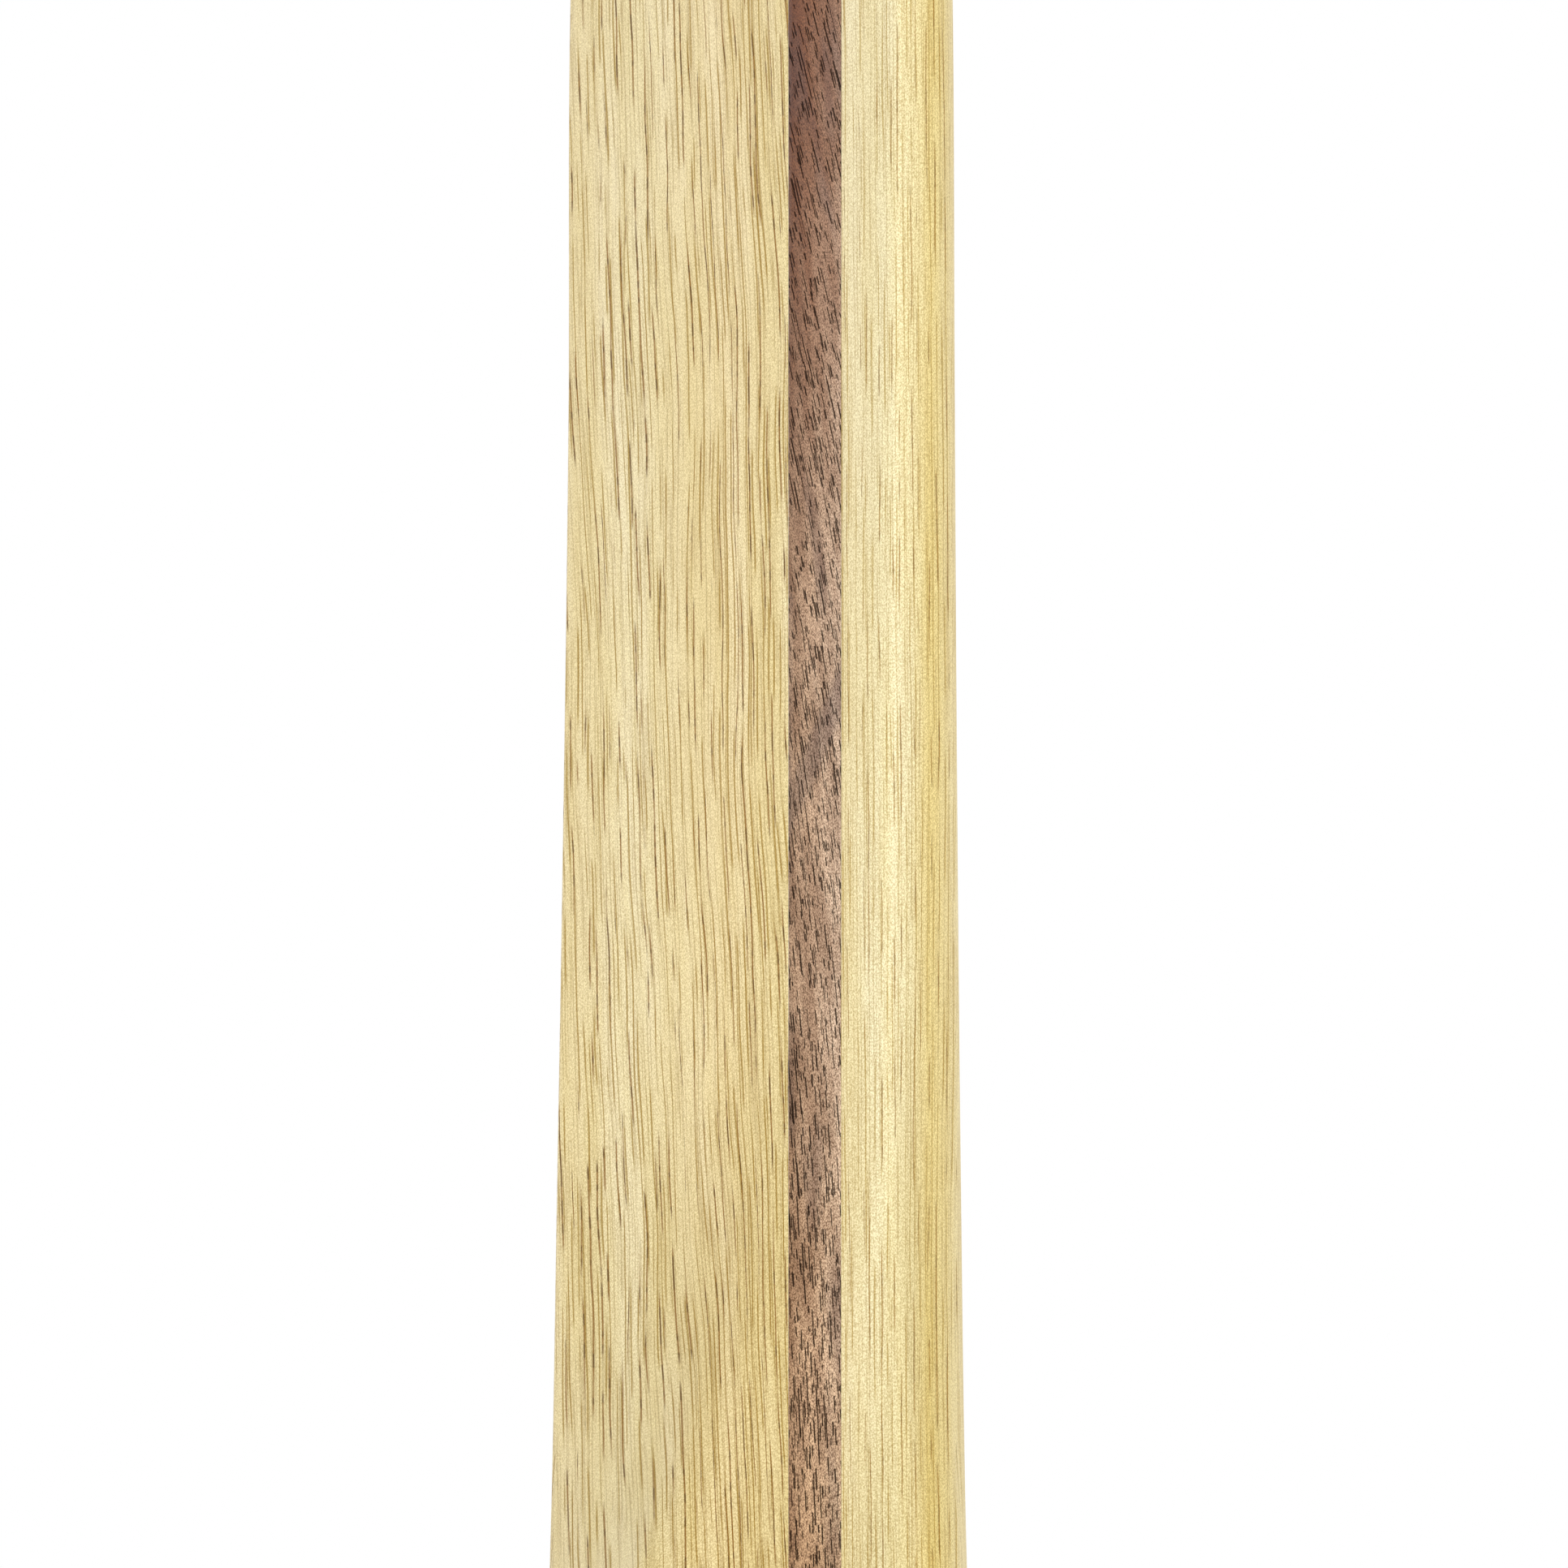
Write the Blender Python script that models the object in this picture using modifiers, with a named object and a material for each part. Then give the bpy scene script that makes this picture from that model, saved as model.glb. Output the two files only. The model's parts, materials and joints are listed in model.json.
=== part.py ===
# Laminated two-blade wooden propeller, with its hub hardware, drive shaft and bearing unit.
# Metres. The shaft runs along X with forward at +X, and at rest the blades stand along Z.
# The origin is the middle of the bearing unit's rear mounting face.

import math

import bmesh
import bpy
from mathutils import Matrix, Vector

# Propeller: blades and boards
PROPELLER_DIAMETER = 1.300
PROPELLER_PITCH = 0.770
REAR_BOARD = 0.0315
WALNUT_LAYER = 0.0064
FRONT_BOARD = 0.0170
GLUE_LINE = 0.0003
HUB_DIAMETER = 0.124
HUB_EDGE_RADIUS = 0.008
HUB_FILLET = 0.045
ROOT_WIDTH = 0.064
ROOT_BLEND_LENGTH = 0.110
TRAILING_EDGE = 0.0022
TIP_ROUND_LENGTH = 0.060
TIP_END_SHARE = 0.20
LEADING_SHARE = 0.38
UPPER_SHARE = 0.86

# Blade lines: share of the way from hub rim to tip, then share of the board or of the chord
REAR_LINE = ((0.0, 1.0), (0.082, 0.946), (0.164, 0.922), (0.246, 0.902), (0.328, 0.888), (0.410, 0.888),
             (0.470, 0.855), (0.540, 0.765), (0.620, 0.63), (0.70, 0.485), (0.78, 0.345), (0.86, 0.215),
             (0.93, 0.11), (1.0, 0.03))
FRONT_LINE = ((0.0, 1.0), (0.082, 0.913), (0.164, 0.869), (0.246, 0.837), (0.328, 0.814), (0.410, 0.794),
              (0.575, 0.69), (0.745, 0.525), (0.915, 0.35), (1.0, 0.26))
THICKNESS_LINE = ((0.0, 0.60), (0.082, 0.46), (0.246, 0.25), (0.410, 0.15), (0.575, 0.12), (1.0, 0.09))

# Hub fastening
BOLT_COUNT = 6
BOLT_CIRCLE = 0.075
BOLT_DIAMETER = 0.008
BOLT_HEAD_FLATS = 0.013
BOLT_HEAD_HEIGHT = 0.0053
BOLT_TAIL = 0.0025
NUT_FLATS = 0.013
NUT_HEIGHT = 0.008
WASHER_DIAMETER = 0.016
WASHER_THICKNESS = 0.0016
PLATE_DIAMETER = 0.104
PLATE_THICKNESS = 0.008
DRIVE_BUSH_DIAMETER = 0.013
DRIVE_BUSH_REACH = 0.010
HUB_BUSH_WALL = 0.0025

# Shaft
PILOT_DIAMETER = 0.025
PILOT_SETBACK = 0.001
DRIVE_FLANGE_DIAMETER = 0.100
DRIVE_FLANGE_THICKNESS = 0.012
JOURNAL_DIAMETER = 0.032
SEAT_DIAMETER = 0.025
NUT_RUNNING_GAP = 0.003
SHAFT_TAIL = 0.0005

# Bearing unit
MOUNT_FLANGE_DIAMETER = 0.118
MOUNT_FLANGE_THICKNESS = 0.010
MOUNT_HOLE_COUNT = 4
MOUNT_HOLE_DIAMETER = 0.0088
MOUNT_HOLE_CIRCLE = 0.100
BARREL_DIAMETER = 0.076
BARREL_FILLET = 0.004
HOUSING_LENGTH = 0.070
RIB_COUNT = 4
RIB_WIDTH = 0.007
RIB_LENGTH = 0.030
BEARING_OUTSIDE = 0.052
BEARING_WIDTH = 0.015
BEARING_SHOULDER = 0.0038
REAR_BEARING_PLACE = 0.015
BALL_COUNT = 9
BALL_DIAMETER = 0.0078
CAGE_WIDTH = 0.0044
CAGE_THICKNESS = 0.0021
SPACER_WALL = 0.0035
SEAL_OUTSIDE = 0.047
SEAL_WIDTH = 0.007
SEAL_SETBACK = 0.0005
COVER_DIAMETER = 0.070
COVER_THICKNESS = 0.005
COVER_SPIGOT_WALL = 0.0032
SCREW_COUNT = 4
SCREW_LENGTH = 0.010
SCREW_HEAD_MARGIN = 0.001
SCREW_SHANK_SHARE = 4 / 7
SCREW_SOCKET_SHARE = 5 / 14
SCREW_HEAD_HEIGHT = 0.0022
SCREW_SOCKET_DEPTH = 0.0012
LOCK_NUT_DIAMETER = 0.038
LOCK_NUT_THICKNESS = 0.006
LOCK_NUT_SLOT_COUNT = 4
LOCK_NUT_SLOT_WIDTH = 0.005
LOCK_NUT_SLOT_DEPTH = 0.002
LOCK_WASHER_DIAMETER = 0.036
LOCK_WASHER_THICKNESS = 0.0012

# Shared
FIT = 0.0003
CHAMFER = 0.0008
MERGE = 0.00001
ROUND_STEPS = 32
INNER_STEPS = 24
SMALL_STEPS = 12
BALL_STEPS = 8
CORNER_STEPS = 3
FACE_STEPS = 4
SIDE_STEPS = 2
HUB_STEPS = 12
ROOT_STEPS = 8
BLADE_STEPS = 9
TIP_STEPS = 4
FILLET_STEPS = 4
GROOVE_STEPS = 4
QUARTER_TURN = math.pi / 2
PAST = 0.010

# Places along the shaft, worked out from the rear mounting face forwards
COVER_FRONT = COVER_THICKNESS
REAR_BEARING_FRONT = REAR_BEARING_PLACE + BEARING_WIDTH
SEAL_FRONT = HOUSING_LENGTH - SEAL_SETBACK
SEAL_REAR = SEAL_FRONT - SEAL_WIDTH
BEARING_STEP = SEAL_REAR - FIT
FRONT_BEARING_FRONT = BEARING_STEP - FIT
FRONT_BEARING_PLACE = FRONT_BEARING_FRONT - BEARING_WIDTH
LOCK_WASHER_FRONT = REAR_BEARING_PLACE - FIT
LOCK_WASHER_REAR = LOCK_WASHER_FRONT - LOCK_WASHER_THICKNESS
LOCK_NUT_FRONT = LOCK_WASHER_REAR - FIT
LOCK_NUT_REAR = LOCK_NUT_FRONT - LOCK_NUT_THICKNESS
SHAFT_REAR = LOCK_NUT_REAR - SHAFT_TAIL
FLANGE_REAR = HOUSING_LENGTH + NUT_RUNNING_GAP + BOLT_TAIL + NUT_HEIGHT + FIT
FLANGE_FRONT = FLANGE_REAR + DRIVE_FLANGE_THICKNESS
HUB_REAR = FLANGE_FRONT + FIT
WALNUT_REAR = HUB_REAR + REAR_BOARD
WALNUT_MIDDLE = WALNUT_REAR + WALNUT_LAYER / 2
WALNUT_FRONT = WALNUT_REAR + WALNUT_LAYER
HUB_FRONT = WALNUT_FRONT + FRONT_BOARD
PLATE_REAR = HUB_FRONT + FIT
PLATE_FRONT = PLATE_REAR + PLATE_THICKNESS
WASHER_REAR = PLATE_FRONT + FIT
WASHER_FRONT = WASHER_REAR + WASHER_THICKNESS
HEAD_REAR = WASHER_FRONT + FIT
HEAD_FRONT = HEAD_REAR + BOLT_HEAD_HEIGHT
NUT_FRONT = FLANGE_REAR - FIT
NUT_REAR = NUT_FRONT - NUT_HEIGHT
BOLT_REAR = NUT_REAR - BOLT_TAIL

# Cover screws, sized by the land between the bearing seat and the cover's rim
COVER_LAND = (COVER_DIAMETER - BEARING_OUTSIDE) / 2
SCREW_CIRCLE = BEARING_OUTSIDE + COVER_LAND
SCREW_HEAD_DIAMETER = COVER_LAND - 2 * SCREW_HEAD_MARGIN
SCREW_DIAMETER = SCREW_HEAD_DIAMETER * SCREW_SHANK_SHARE
SCREW_SOCKET_FLATS = SCREW_HEAD_DIAMETER * SCREW_SOCKET_SHARE

# Radii that several pieces share
TIP_RADIUS = PROPELLER_DIAMETER / 2
HUB_RADIUS = HUB_DIAMETER / 2
SEAT_RADIUS = SEAT_DIAMETER / 2
PILOT_RADIUS = PILOT_DIAMETER / 2
BOLT_RADIUS = BOLT_DIAMETER / 2
DRIVE_BUSH_RADIUS = DRIVE_BUSH_DIAMETER / 2
HUB_BUSH_RADIUS = PILOT_RADIUS + FIT + HUB_BUSH_WALL
RING_INSIDE = SEAT_RADIUS + FIT
RING_OUTSIDE = BEARING_OUTSIDE / 2 - FIT
BALL_RADIUS = BALL_DIAMETER / 2
BALL_CIRCLE_RADIUS = (RING_INSIDE + RING_OUTSIDE) / 2


def clear_scene():
    for obj in list(bpy.data.objects):
        bpy.data.objects.remove(obj, do_unlink=True)


def new_collection(name):
    collection = bpy.data.collections.new(name)
    bpy.context.scene.collection.children.link(collection)
    return collection


def finish(name, colour, roughness, metallic):
    material = bpy.data.materials.new(name)
    material.use_nodes = True
    shader = material.node_tree.nodes["Principled BSDF"]
    shader.inputs["Base Color"].default_value = (*colour, 1.0)
    shader.inputs["Roughness"].default_value = roughness
    shader.inputs["Metallic"].default_value = metallic
    return material


def axis_empty(name):
    # Local Z of what hangs on the empty runs along the shaft, and local X down the lower blade
    empty = bpy.data.objects.new(name, None)
    empty.rotation_euler = (0.0, QUARTER_TURN, 0.0)
    PARTS.objects.link(empty)
    return empty


def place(name, mesh, material, axis, at=(0.0, 0.0)):
    obj = bpy.data.objects.new(name, mesh)
    obj.parent = axis
    obj.location = (at[0], at[1], 0.0)
    if not mesh.materials:
        mesh.materials.append(material)
    PARTS.objects.link(obj)
    return obj


def as_cutter(obj, axis):
    obj.parent = axis
    obj.hide_render = True
    obj.display_type = "WIRE"
    CUTTERS.objects.link(obj)
    return obj


def mesh_from(name, build):
    work = bmesh.new()
    build(work)
    mesh = bpy.data.meshes.new(name)
    work.to_mesh(mesh)
    work.free()
    return mesh


def prism(work, sides, radius, low, high, at=(0.0, 0.0)):
    # A closed cylinder or hexagon along local Z
    matrix = Matrix.Translation((at[0], at[1], (low + high) / 2))
    bmesh.ops.create_cone(work, cap_ends=True, segments=sides, radius1=radius, radius2=radius,
                          depth=high - low, matrix=matrix)


def circle_places(count, diameter, turn=0.0):
    for index in range(count):
        angle = turn + 2 * math.pi * index / count
        yield diameter / 2 * math.cos(angle), diameter / 2 * math.sin(angle)


def ring_of_prisms(name, count, diameter, radius, low, high, axis, turn=0.0, sides=SMALL_STEPS):
    def build(work):
        for at in circle_places(count, diameter, turn):
            prism(work, sides, radius, low, high, at)
    return as_cutter(bpy.data.objects.new(name, mesh_from(name, build)), axis)


def combine(obj, other, operation="DIFFERENCE"):
    boolean = obj.modifiers.new(other.name, "BOOLEAN")
    boolean.operation = operation
    boolean.solver = "EXACT"
    boolean.object = other


def turned(name, profile, material, axis, steps=ROUND_STEPS):
    # profile: (radius, along) points. One that stays off the axis is a closed ring section.
    # The outer side has to run from the front end to the rear end.
    ring = all(radius > 0 for radius, _ in profile)
    points = list(profile)
    if ring:
        area = sum(a[0] * b[1] - b[0] * a[1] for a, b in zip(points, points[1:] + points[:1]))
        turned_round = area > 0
    else:
        turned_round = points[0][1] < points[-1][1]
    if turned_round:
        points.reverse()
    edges = [(index, index + 1) for index in range(len(points) - 1)]
    if ring:
        edges.append((len(points) - 1, 0))
    mesh = bpy.data.meshes.new(name)
    mesh.from_pydata([(radius, 0.0, along) for radius, along in points], edges, [])
    obj = place(name, mesh, material, axis)
    screw = obj.modifiers.new("turn", "SCREW")
    screw.steps = steps
    screw.render_steps = steps
    screw.use_merge_vertices = True
    screw.merge_threshold = MERGE
    screw.use_smooth_shade = True
    return obj


def bevelled_ring(inside, outside, rear, front, chamfer=CHAMFER):
    return [(inside, front), (outside - chamfer, front), (outside, front - chamfer),
            (outside, rear + chamfer), (outside - chamfer, rear), (inside, rear)]


def plain_ring(inside, outside, rear, front):
    return [(inside, front), (outside, front), (outside, rear), (inside, rear)]


def evaluated_mesh(obj):
    bpy.context.view_layer.update()
    graph = bpy.context.evaluated_depsgraph_get()
    return bpy.data.meshes.new_from_object(obj.evaluated_get(graph))


def copies(name, first, count, diameter, material, axis, turn=0.0):
    # Repeats one finished shape round the axis, as numbered pieces
    mesh = evaluated_mesh(first)
    old_mesh = first.data
    bpy.data.objects.remove(first, do_unlink=True)
    bpy.data.meshes.remove(old_mesh)
    for number, at in enumerate(circle_places(count, diameter, turn), start=1):
        place(f"{name}_{number}", mesh, material, axis, at)


def along_line(line, share):
    # A smooth curve through the line's own stations
    share = min(max(share, line[0][0]), line[-1][0])
    index = max(i for i in range(len(line) - 1) if line[i][0] <= share)
    (x0, y0), (x1, y1) = line[index], line[index + 1]
    step = (y1 - y0) / (x1 - x0)
    before, after = line[max(index - 1, 0)], line[min(index + 2, len(line) - 1)]
    slope0 = (y1 - before[1]) / (x1 - before[0]) if index > 0 else step
    slope1 = (after[1] - y0) / (after[0] - x0) if index + 2 < len(line) else step
    t = (share - x0) / (x1 - x0)
    bend0 = (slope0 - step) * (x1 - x0)
    bend1 = (slope1 - step) * (x1 - x0)
    return y0 + t * (y1 - y0) + t * (1 - t) * (bend0 * (1 - t) - bend1 * t)


def smooth_step(t):
    t = min(max(t, 0.0), 1.0)
    return t * t * (3 - 2 * t)


def root_half_width(span):
    # The hub disc runs through a fillet into the straight root
    half_root = ROOT_WIDTH / 2
    fillet_place = math.sqrt((HUB_RADIUS + HUB_FILLET) ** 2 - (half_root + HUB_FILLET) ** 2)
    if span < fillet_place * HUB_RADIUS / (HUB_RADIUS + HUB_FILLET):
        return math.sqrt(HUB_RADIUS ** 2 - span ** 2)
    if span < fillet_place:
        return half_root + HUB_FILLET - math.sqrt(HUB_FILLET ** 2 - (fillet_place - span) ** 2)
    return half_root


def rounded_box(rear, front, half_width):
    # Points run from the leading corner over the front face, and back behind it
    radius = HUB_EDGE_RADIUS
    corners = ((front - radius, radius - half_width, -1), (front - radius, half_width - radius, 0),
               (rear + radius, half_width - radius, 1), (rear + radius, radius - half_width, 2))
    points = []
    for number, (along, across, quarter) in enumerate(corners):
        for step in range(CORNER_STEPS):
            angle = QUARTER_TURN * (quarter + step / (CORNER_STEPS - 1))
            points.append((along + radius * math.cos(angle), across + radius * math.sin(angle)))
        following = corners[(number + 1) % 4]
        end_angle = QUARTER_TURN * (quarter + 1)
        shift = (radius * math.cos(end_angle), radius * math.sin(end_angle))
        between = FACE_STEPS if number % 2 == 0 else SIDE_STEPS
        for step in range(1, between + 1):
            t = step / (between + 1)
            points.append((along + (following[0] - along) * t + shift[0],
                           across + (following[1] - across) * t + shift[1]))
    return points


def foil(ratio, edge):
    # Unit chord, leading edge at 0. edge is the trailing edge's thickness over the chord.
    nose = 0.02
    side = FACE_STEPS + CORNER_STEPS + SIDE_STEPS

    def thickness(u):
        curve = 0.2969 * math.sqrt(u) - 0.1260 * u - 0.3516 * u ** 2 + 0.2843 * u ** 3 - 0.1015 * u ** 4
        return 10 * ratio * curve + edge * u

    def over(u):
        return u, UPPER_SHARE * thickness(u)

    def under(u):
        return u, (UPPER_SHARE - 1) * thickness(u)

    points = []
    for step in range(CORNER_STEPS):
        q = 2 * step / (CORNER_STEPS - 1) - 1
        points.append(over(nose * q * q) if q > 0 else under(nose * q * q))
    places = [nose + (1 - nose) * (step / (side + 1)) ** 1.35 for step in range(1, side + 1)]
    points += [over(u) for u in places]
    top = over(1.0)[1]
    bottom = under(1.0)[1]
    for step in range(CORNER_STEPS):
        angle = QUARTER_TURN - math.pi * step / (CORNER_STEPS - 1)
        half = (top - bottom) / 2
        points.append((1.0 + half * math.cos(angle), (top + bottom) / 2 + half * math.sin(angle)))
    points += [under(u) for u in reversed(places)]
    return points


def fit_along(points, rear, front):
    low = min(along for along, _ in points)
    high = max(along for along, _ in points)
    scale = (front - rear) / (high - low)
    return [(rear + (along - low) * scale, across) for along, across in points], scale


def blade_section(span):
    # Section of the upper blade at a height above the axis: (along the shaft, across) from mid walnut
    share = (span - HUB_RADIUS) / (TIP_RADIUS - HUB_RADIUS)
    rear = -WALNUT_LAYER / 2 - REAR_BOARD * along_line(REAR_LINE, share)
    front = WALNUT_LAYER / 2 + FRONT_BOARD * along_line(FRONT_LINE, share)
    box = rounded_box(rear, front, root_half_width(span))
    blend = smooth_step((span - HUB_RADIUS) / ROOT_BLEND_LENGTH)
    if blend == 0.0:
        return box
    angle = math.atan2(PROPELLER_PITCH / (2 * math.pi), span)
    ratio = along_line(THICKNESS_LINE, share)
    rough_chord = (front - rear) / math.sin(angle)
    shape = [(h * math.cos(angle) - u * math.sin(angle),
              (u - LEADING_SHARE) * math.cos(angle) + h * math.sin(angle))
             for u, h in foil(ratio, TRAILING_EDGE / rough_chord)]
    shape, chord = fit_along(shape, rear, front)
    shape = [(along, across * chord) for along, across in shape]
    mixed = [(a[0] + (b[0] - a[0]) * blend, a[1] + (b[1] - a[1]) * blend) for a, b in zip(box, shape)]
    mixed, _ = fit_along(mixed, rear, front)
    rounding = max(0.0, (span - TIP_RADIUS + TIP_ROUND_LENGTH) / TIP_ROUND_LENGTH)
    size = math.sqrt(1 - rounding ** 2 * (1 - TIP_END_SHARE ** 2))
    middle_along = (rear + front) / 2
    middle_across = sum(across for _, across in mixed) / len(mixed)
    return [(middle_along + (along - middle_along) * size, middle_across + (across - middle_across) * size)
            for along, across in mixed]


def opposite(section):
    # The same section half a turn round, with its points in step with the upper blade's
    start = 2 * SIDE_STEPS + 2 * CORNER_STEPS + FACE_STEPS
    back = [(along, -across) for along, across in reversed(section)]
    return back[start:] + back[:start]


def blade_spans():
    hub = [HUB_RADIUS * step / (HUB_STEPS / 2) for step in range(HUB_STEPS // 2 + 1)]
    root_end = HUB_RADIUS + ROOT_BLEND_LENGTH
    root = [HUB_RADIUS + ROOT_BLEND_LENGTH * (step + 1) / ROOT_STEPS for step in range(ROOT_STEPS)]
    tip_start = TIP_RADIUS - TIP_ROUND_LENGTH
    blade = [root_end + (tip_start - root_end) * (step + 1) / BLADE_STEPS for step in range(BLADE_STEPS)]
    tip = [tip_start + TIP_ROUND_LENGTH * math.sin(QUARTER_TURN * (step + 1) / TIP_STEPS)
           for step in range(TIP_STEPS)]
    return hub + root + blade + tip


def blank_mesh():
    # Both blades and the hub as one carved blank, before it is parted into its boards
    spans = blade_spans()
    upper = [(span, blade_section(span)) for span in spans]
    lower = [(-span, opposite(section)) for span, section in reversed(upper[1:])]

    def build(work):
        rings = []
        for span, section in lower + upper:
            rings.append([work.verts.new((-span, across, WALNUT_MIDDLE + along))
                          for along, across in section])
        count = len(rings[0])
        for ring, following in zip(rings, rings[1:]):
            for index in range(count):
                after = (index + 1) % count
                work.faces.new((ring[index], ring[after], following[after], following[index]))
        work.faces.new(rings[0])
        work.faces.new(rings[-1])
        bmesh.ops.recalc_face_normals(work, faces=work.faces[:])
        bmesh.ops.triangulate(work, faces=work.faces[:])

    return mesh_from("blank", build)


def slab(name, rear, front, axis):
    def build(work):
        size = Matrix.Diagonal((2 * PROPELLER_DIAMETER, PROPELLER_DIAMETER, front - rear, 1.0))
        middle = Matrix.Translation((0.0, 0.0, (rear + front) / 2))
        bmesh.ops.create_cube(work, size=1.0, matrix=middle @ size)
    return as_cutter(bpy.data.objects.new(name, mesh_from(name, build)), axis)


def make_boards(axis, pale_wood, walnut):
    blank = blank_mesh()
    half_glue = GLUE_LINE / 2
    bore = ring_of_prisms("bore_cutter", 1, 0.0, HUB_BUSH_RADIUS + FIT, HUB_REAR - PAST, HUB_FRONT + PAST,
                          axis, sides=ROUND_STEPS)
    holes = ring_of_prisms("bolt_hole_cutter", BOLT_COUNT, BOLT_CIRCLE, BOLT_RADIUS + FIT,
                           HUB_REAR - PAST, HUB_FRONT + PAST, axis)
    sockets = ring_of_prisms("drive_socket_cutter", BOLT_COUNT, BOLT_CIRCLE, DRIVE_BUSH_RADIUS + FIT,
                             HUB_REAR - PAST, HUB_REAR + DRIVE_BUSH_REACH + FIT, axis)
    layers = (("rear_board", pale_wood, HUB_REAR - PAST, WALNUT_REAR - half_glue),
              ("walnut_layer", walnut, WALNUT_REAR + half_glue, WALNUT_FRONT - half_glue),
              ("front_board", pale_wood, WALNUT_FRONT + half_glue, HUB_FRONT + PAST))
    for name, wood, rear, front in layers:
        board = place(name, blank.copy(), wood, axis)
        combine(board, slab(f"{name}_layer", rear, front, axis), "INTERSECT")
        combine(board, bore)
        combine(board, holes)
        if name == "rear_board":
            combine(board, sockets)
    bpy.data.meshes.remove(blank)


def make_hub_hardware(axis, aluminium, bright_steel, zinc_steel, bronze):
    turned("hub_bush", plain_ring(PILOT_RADIUS + FIT, HUB_BUSH_RADIUS, HUB_REAR, HUB_FRONT), bronze, axis)

    plate = turned("front_plate", bevelled_ring(PILOT_RADIUS + FIT, PLATE_DIAMETER / 2, PLATE_REAR,
                                                PLATE_FRONT, 2 * CHAMFER), aluminium, axis)
    combine(plate, ring_of_prisms("plate_hole_cutter", BOLT_COUNT, BOLT_CIRCLE, BOLT_RADIUS + FIT,
                                  PLATE_REAR - PAST, PLATE_FRONT + PAST, axis))

    flat_to_corner = 1 / math.cos(math.pi / 6)
    head = place("head", mesh_from("head", lambda work: prism(
        work, 6, BOLT_HEAD_FLATS / 2 * flat_to_corner, HEAD_REAR, HEAD_FRONT)), zinc_steel, axis)
    shank = ring_of_prisms("shank", 1, 0.0, BOLT_RADIUS, BOLT_REAR, (HEAD_REAR + HEAD_FRONT) / 2, axis)
    combine(head, shank, "UNION")
    copies("hub_bolt", head, BOLT_COUNT, BOLT_CIRCLE, zinc_steel, axis)

    washer = turned("washer", plain_ring(BOLT_RADIUS + FIT, WASHER_DIAMETER / 2, WASHER_REAR, WASHER_FRONT),
                    zinc_steel, axis, SMALL_STEPS)
    copies("plate_washer", washer, BOLT_COUNT, BOLT_CIRCLE, zinc_steel, axis)

    nut = place("nut", mesh_from("nut", lambda work: prism(
        work, 6, NUT_FLATS / 2 * flat_to_corner, NUT_REAR, NUT_FRONT)), zinc_steel, axis)
    combine(nut, ring_of_prisms("nut_bore_cutter", 1, 0.0, BOLT_RADIUS + FIT, NUT_REAR - PAST,
                                NUT_FRONT + PAST, axis))
    copies("lock_nut", nut, BOLT_COUNT, BOLT_CIRCLE, zinc_steel, axis)

    bush = turned("bush", plain_ring(BOLT_RADIUS + FIT, DRIVE_BUSH_RADIUS, FLANGE_REAR,
                                     HUB_REAR + DRIVE_BUSH_REACH), bright_steel, axis, SMALL_STEPS)
    copies("drive_bush", bush, BOLT_COUNT, BOLT_CIRCLE, bright_steel, axis)


def make_shaft(axis, steel):
    flange = DRIVE_FLANGE_DIAMETER / 2
    journal = JOURNAL_DIAMETER / 2
    pilot_front = PLATE_FRONT - PILOT_SETBACK
    fillet = 2 * CHAMFER
    shaft = turned("prop_shaft", [
        (0.0, pilot_front), (PILOT_RADIUS - CHAMFER, pilot_front), (PILOT_RADIUS, pilot_front - CHAMFER),
        (PILOT_RADIUS, FLANGE_FRONT), (flange - CHAMFER, FLANGE_FRONT), (flange, FLANGE_FRONT - CHAMFER),
        (flange, FLANGE_REAR + CHAMFER), (flange - CHAMFER, FLANGE_REAR), (journal + fillet, FLANGE_REAR),
        (journal, FLANGE_REAR - fillet), (journal, BEARING_STEP), (SEAT_RADIUS, BEARING_STEP),
        (SEAT_RADIUS, SHAFT_REAR + CHAMFER), (SEAT_RADIUS - CHAMFER, SHAFT_REAR), (0.0, SHAFT_REAR)],
        steel, axis)
    combine(shaft, ring_of_prisms("flange_hole_cutter", BOLT_COUNT, BOLT_CIRCLE, DRIVE_BUSH_RADIUS + FIT,
                                  FLANGE_REAR - PAST / 2, FLANGE_FRONT + PAST / 2, axis))
    turned("bearing_spacer", plain_ring(RING_INSIDE, SEAT_RADIUS + SPACER_WALL, REAR_BEARING_FRONT + FIT,
                                        FRONT_BEARING_PLACE - FIT), steel, axis, INNER_STEPS)
    turned("shaft_lock_washer", plain_ring(RING_INSIDE, LOCK_WASHER_DIAMETER / 2, LOCK_WASHER_REAR,
                                           LOCK_WASHER_FRONT), steel, axis, INNER_STEPS)
    nut = turned("shaft_lock_nut", plain_ring(RING_INSIDE, LOCK_NUT_DIAMETER / 2, LOCK_NUT_REAR,
                                              LOCK_NUT_FRONT), steel, axis, INNER_STEPS)

    def slots(work):
        for number in range(LOCK_NUT_SLOT_COUNT):
            turn = Matrix.Rotation(2 * math.pi * number / LOCK_NUT_SLOT_COUNT, 4, "Z")
            depth = 2 * LOCK_NUT_SLOT_DEPTH
            size = Matrix.Diagonal((depth, LOCK_NUT_SLOT_WIDTH, LOCK_NUT_THICKNESS + 2 * CHAMFER, 1.0))
            middle = Matrix.Translation((LOCK_NUT_DIAMETER / 2, 0.0, (LOCK_NUT_REAR + LOCK_NUT_FRONT) / 2))
            bmesh.ops.create_cube(work, size=1.0, matrix=turn @ middle @ size)
    combine(nut, as_cutter(bpy.data.objects.new("slot_cutter", mesh_from("slot_cutter", slots)), axis))


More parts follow.
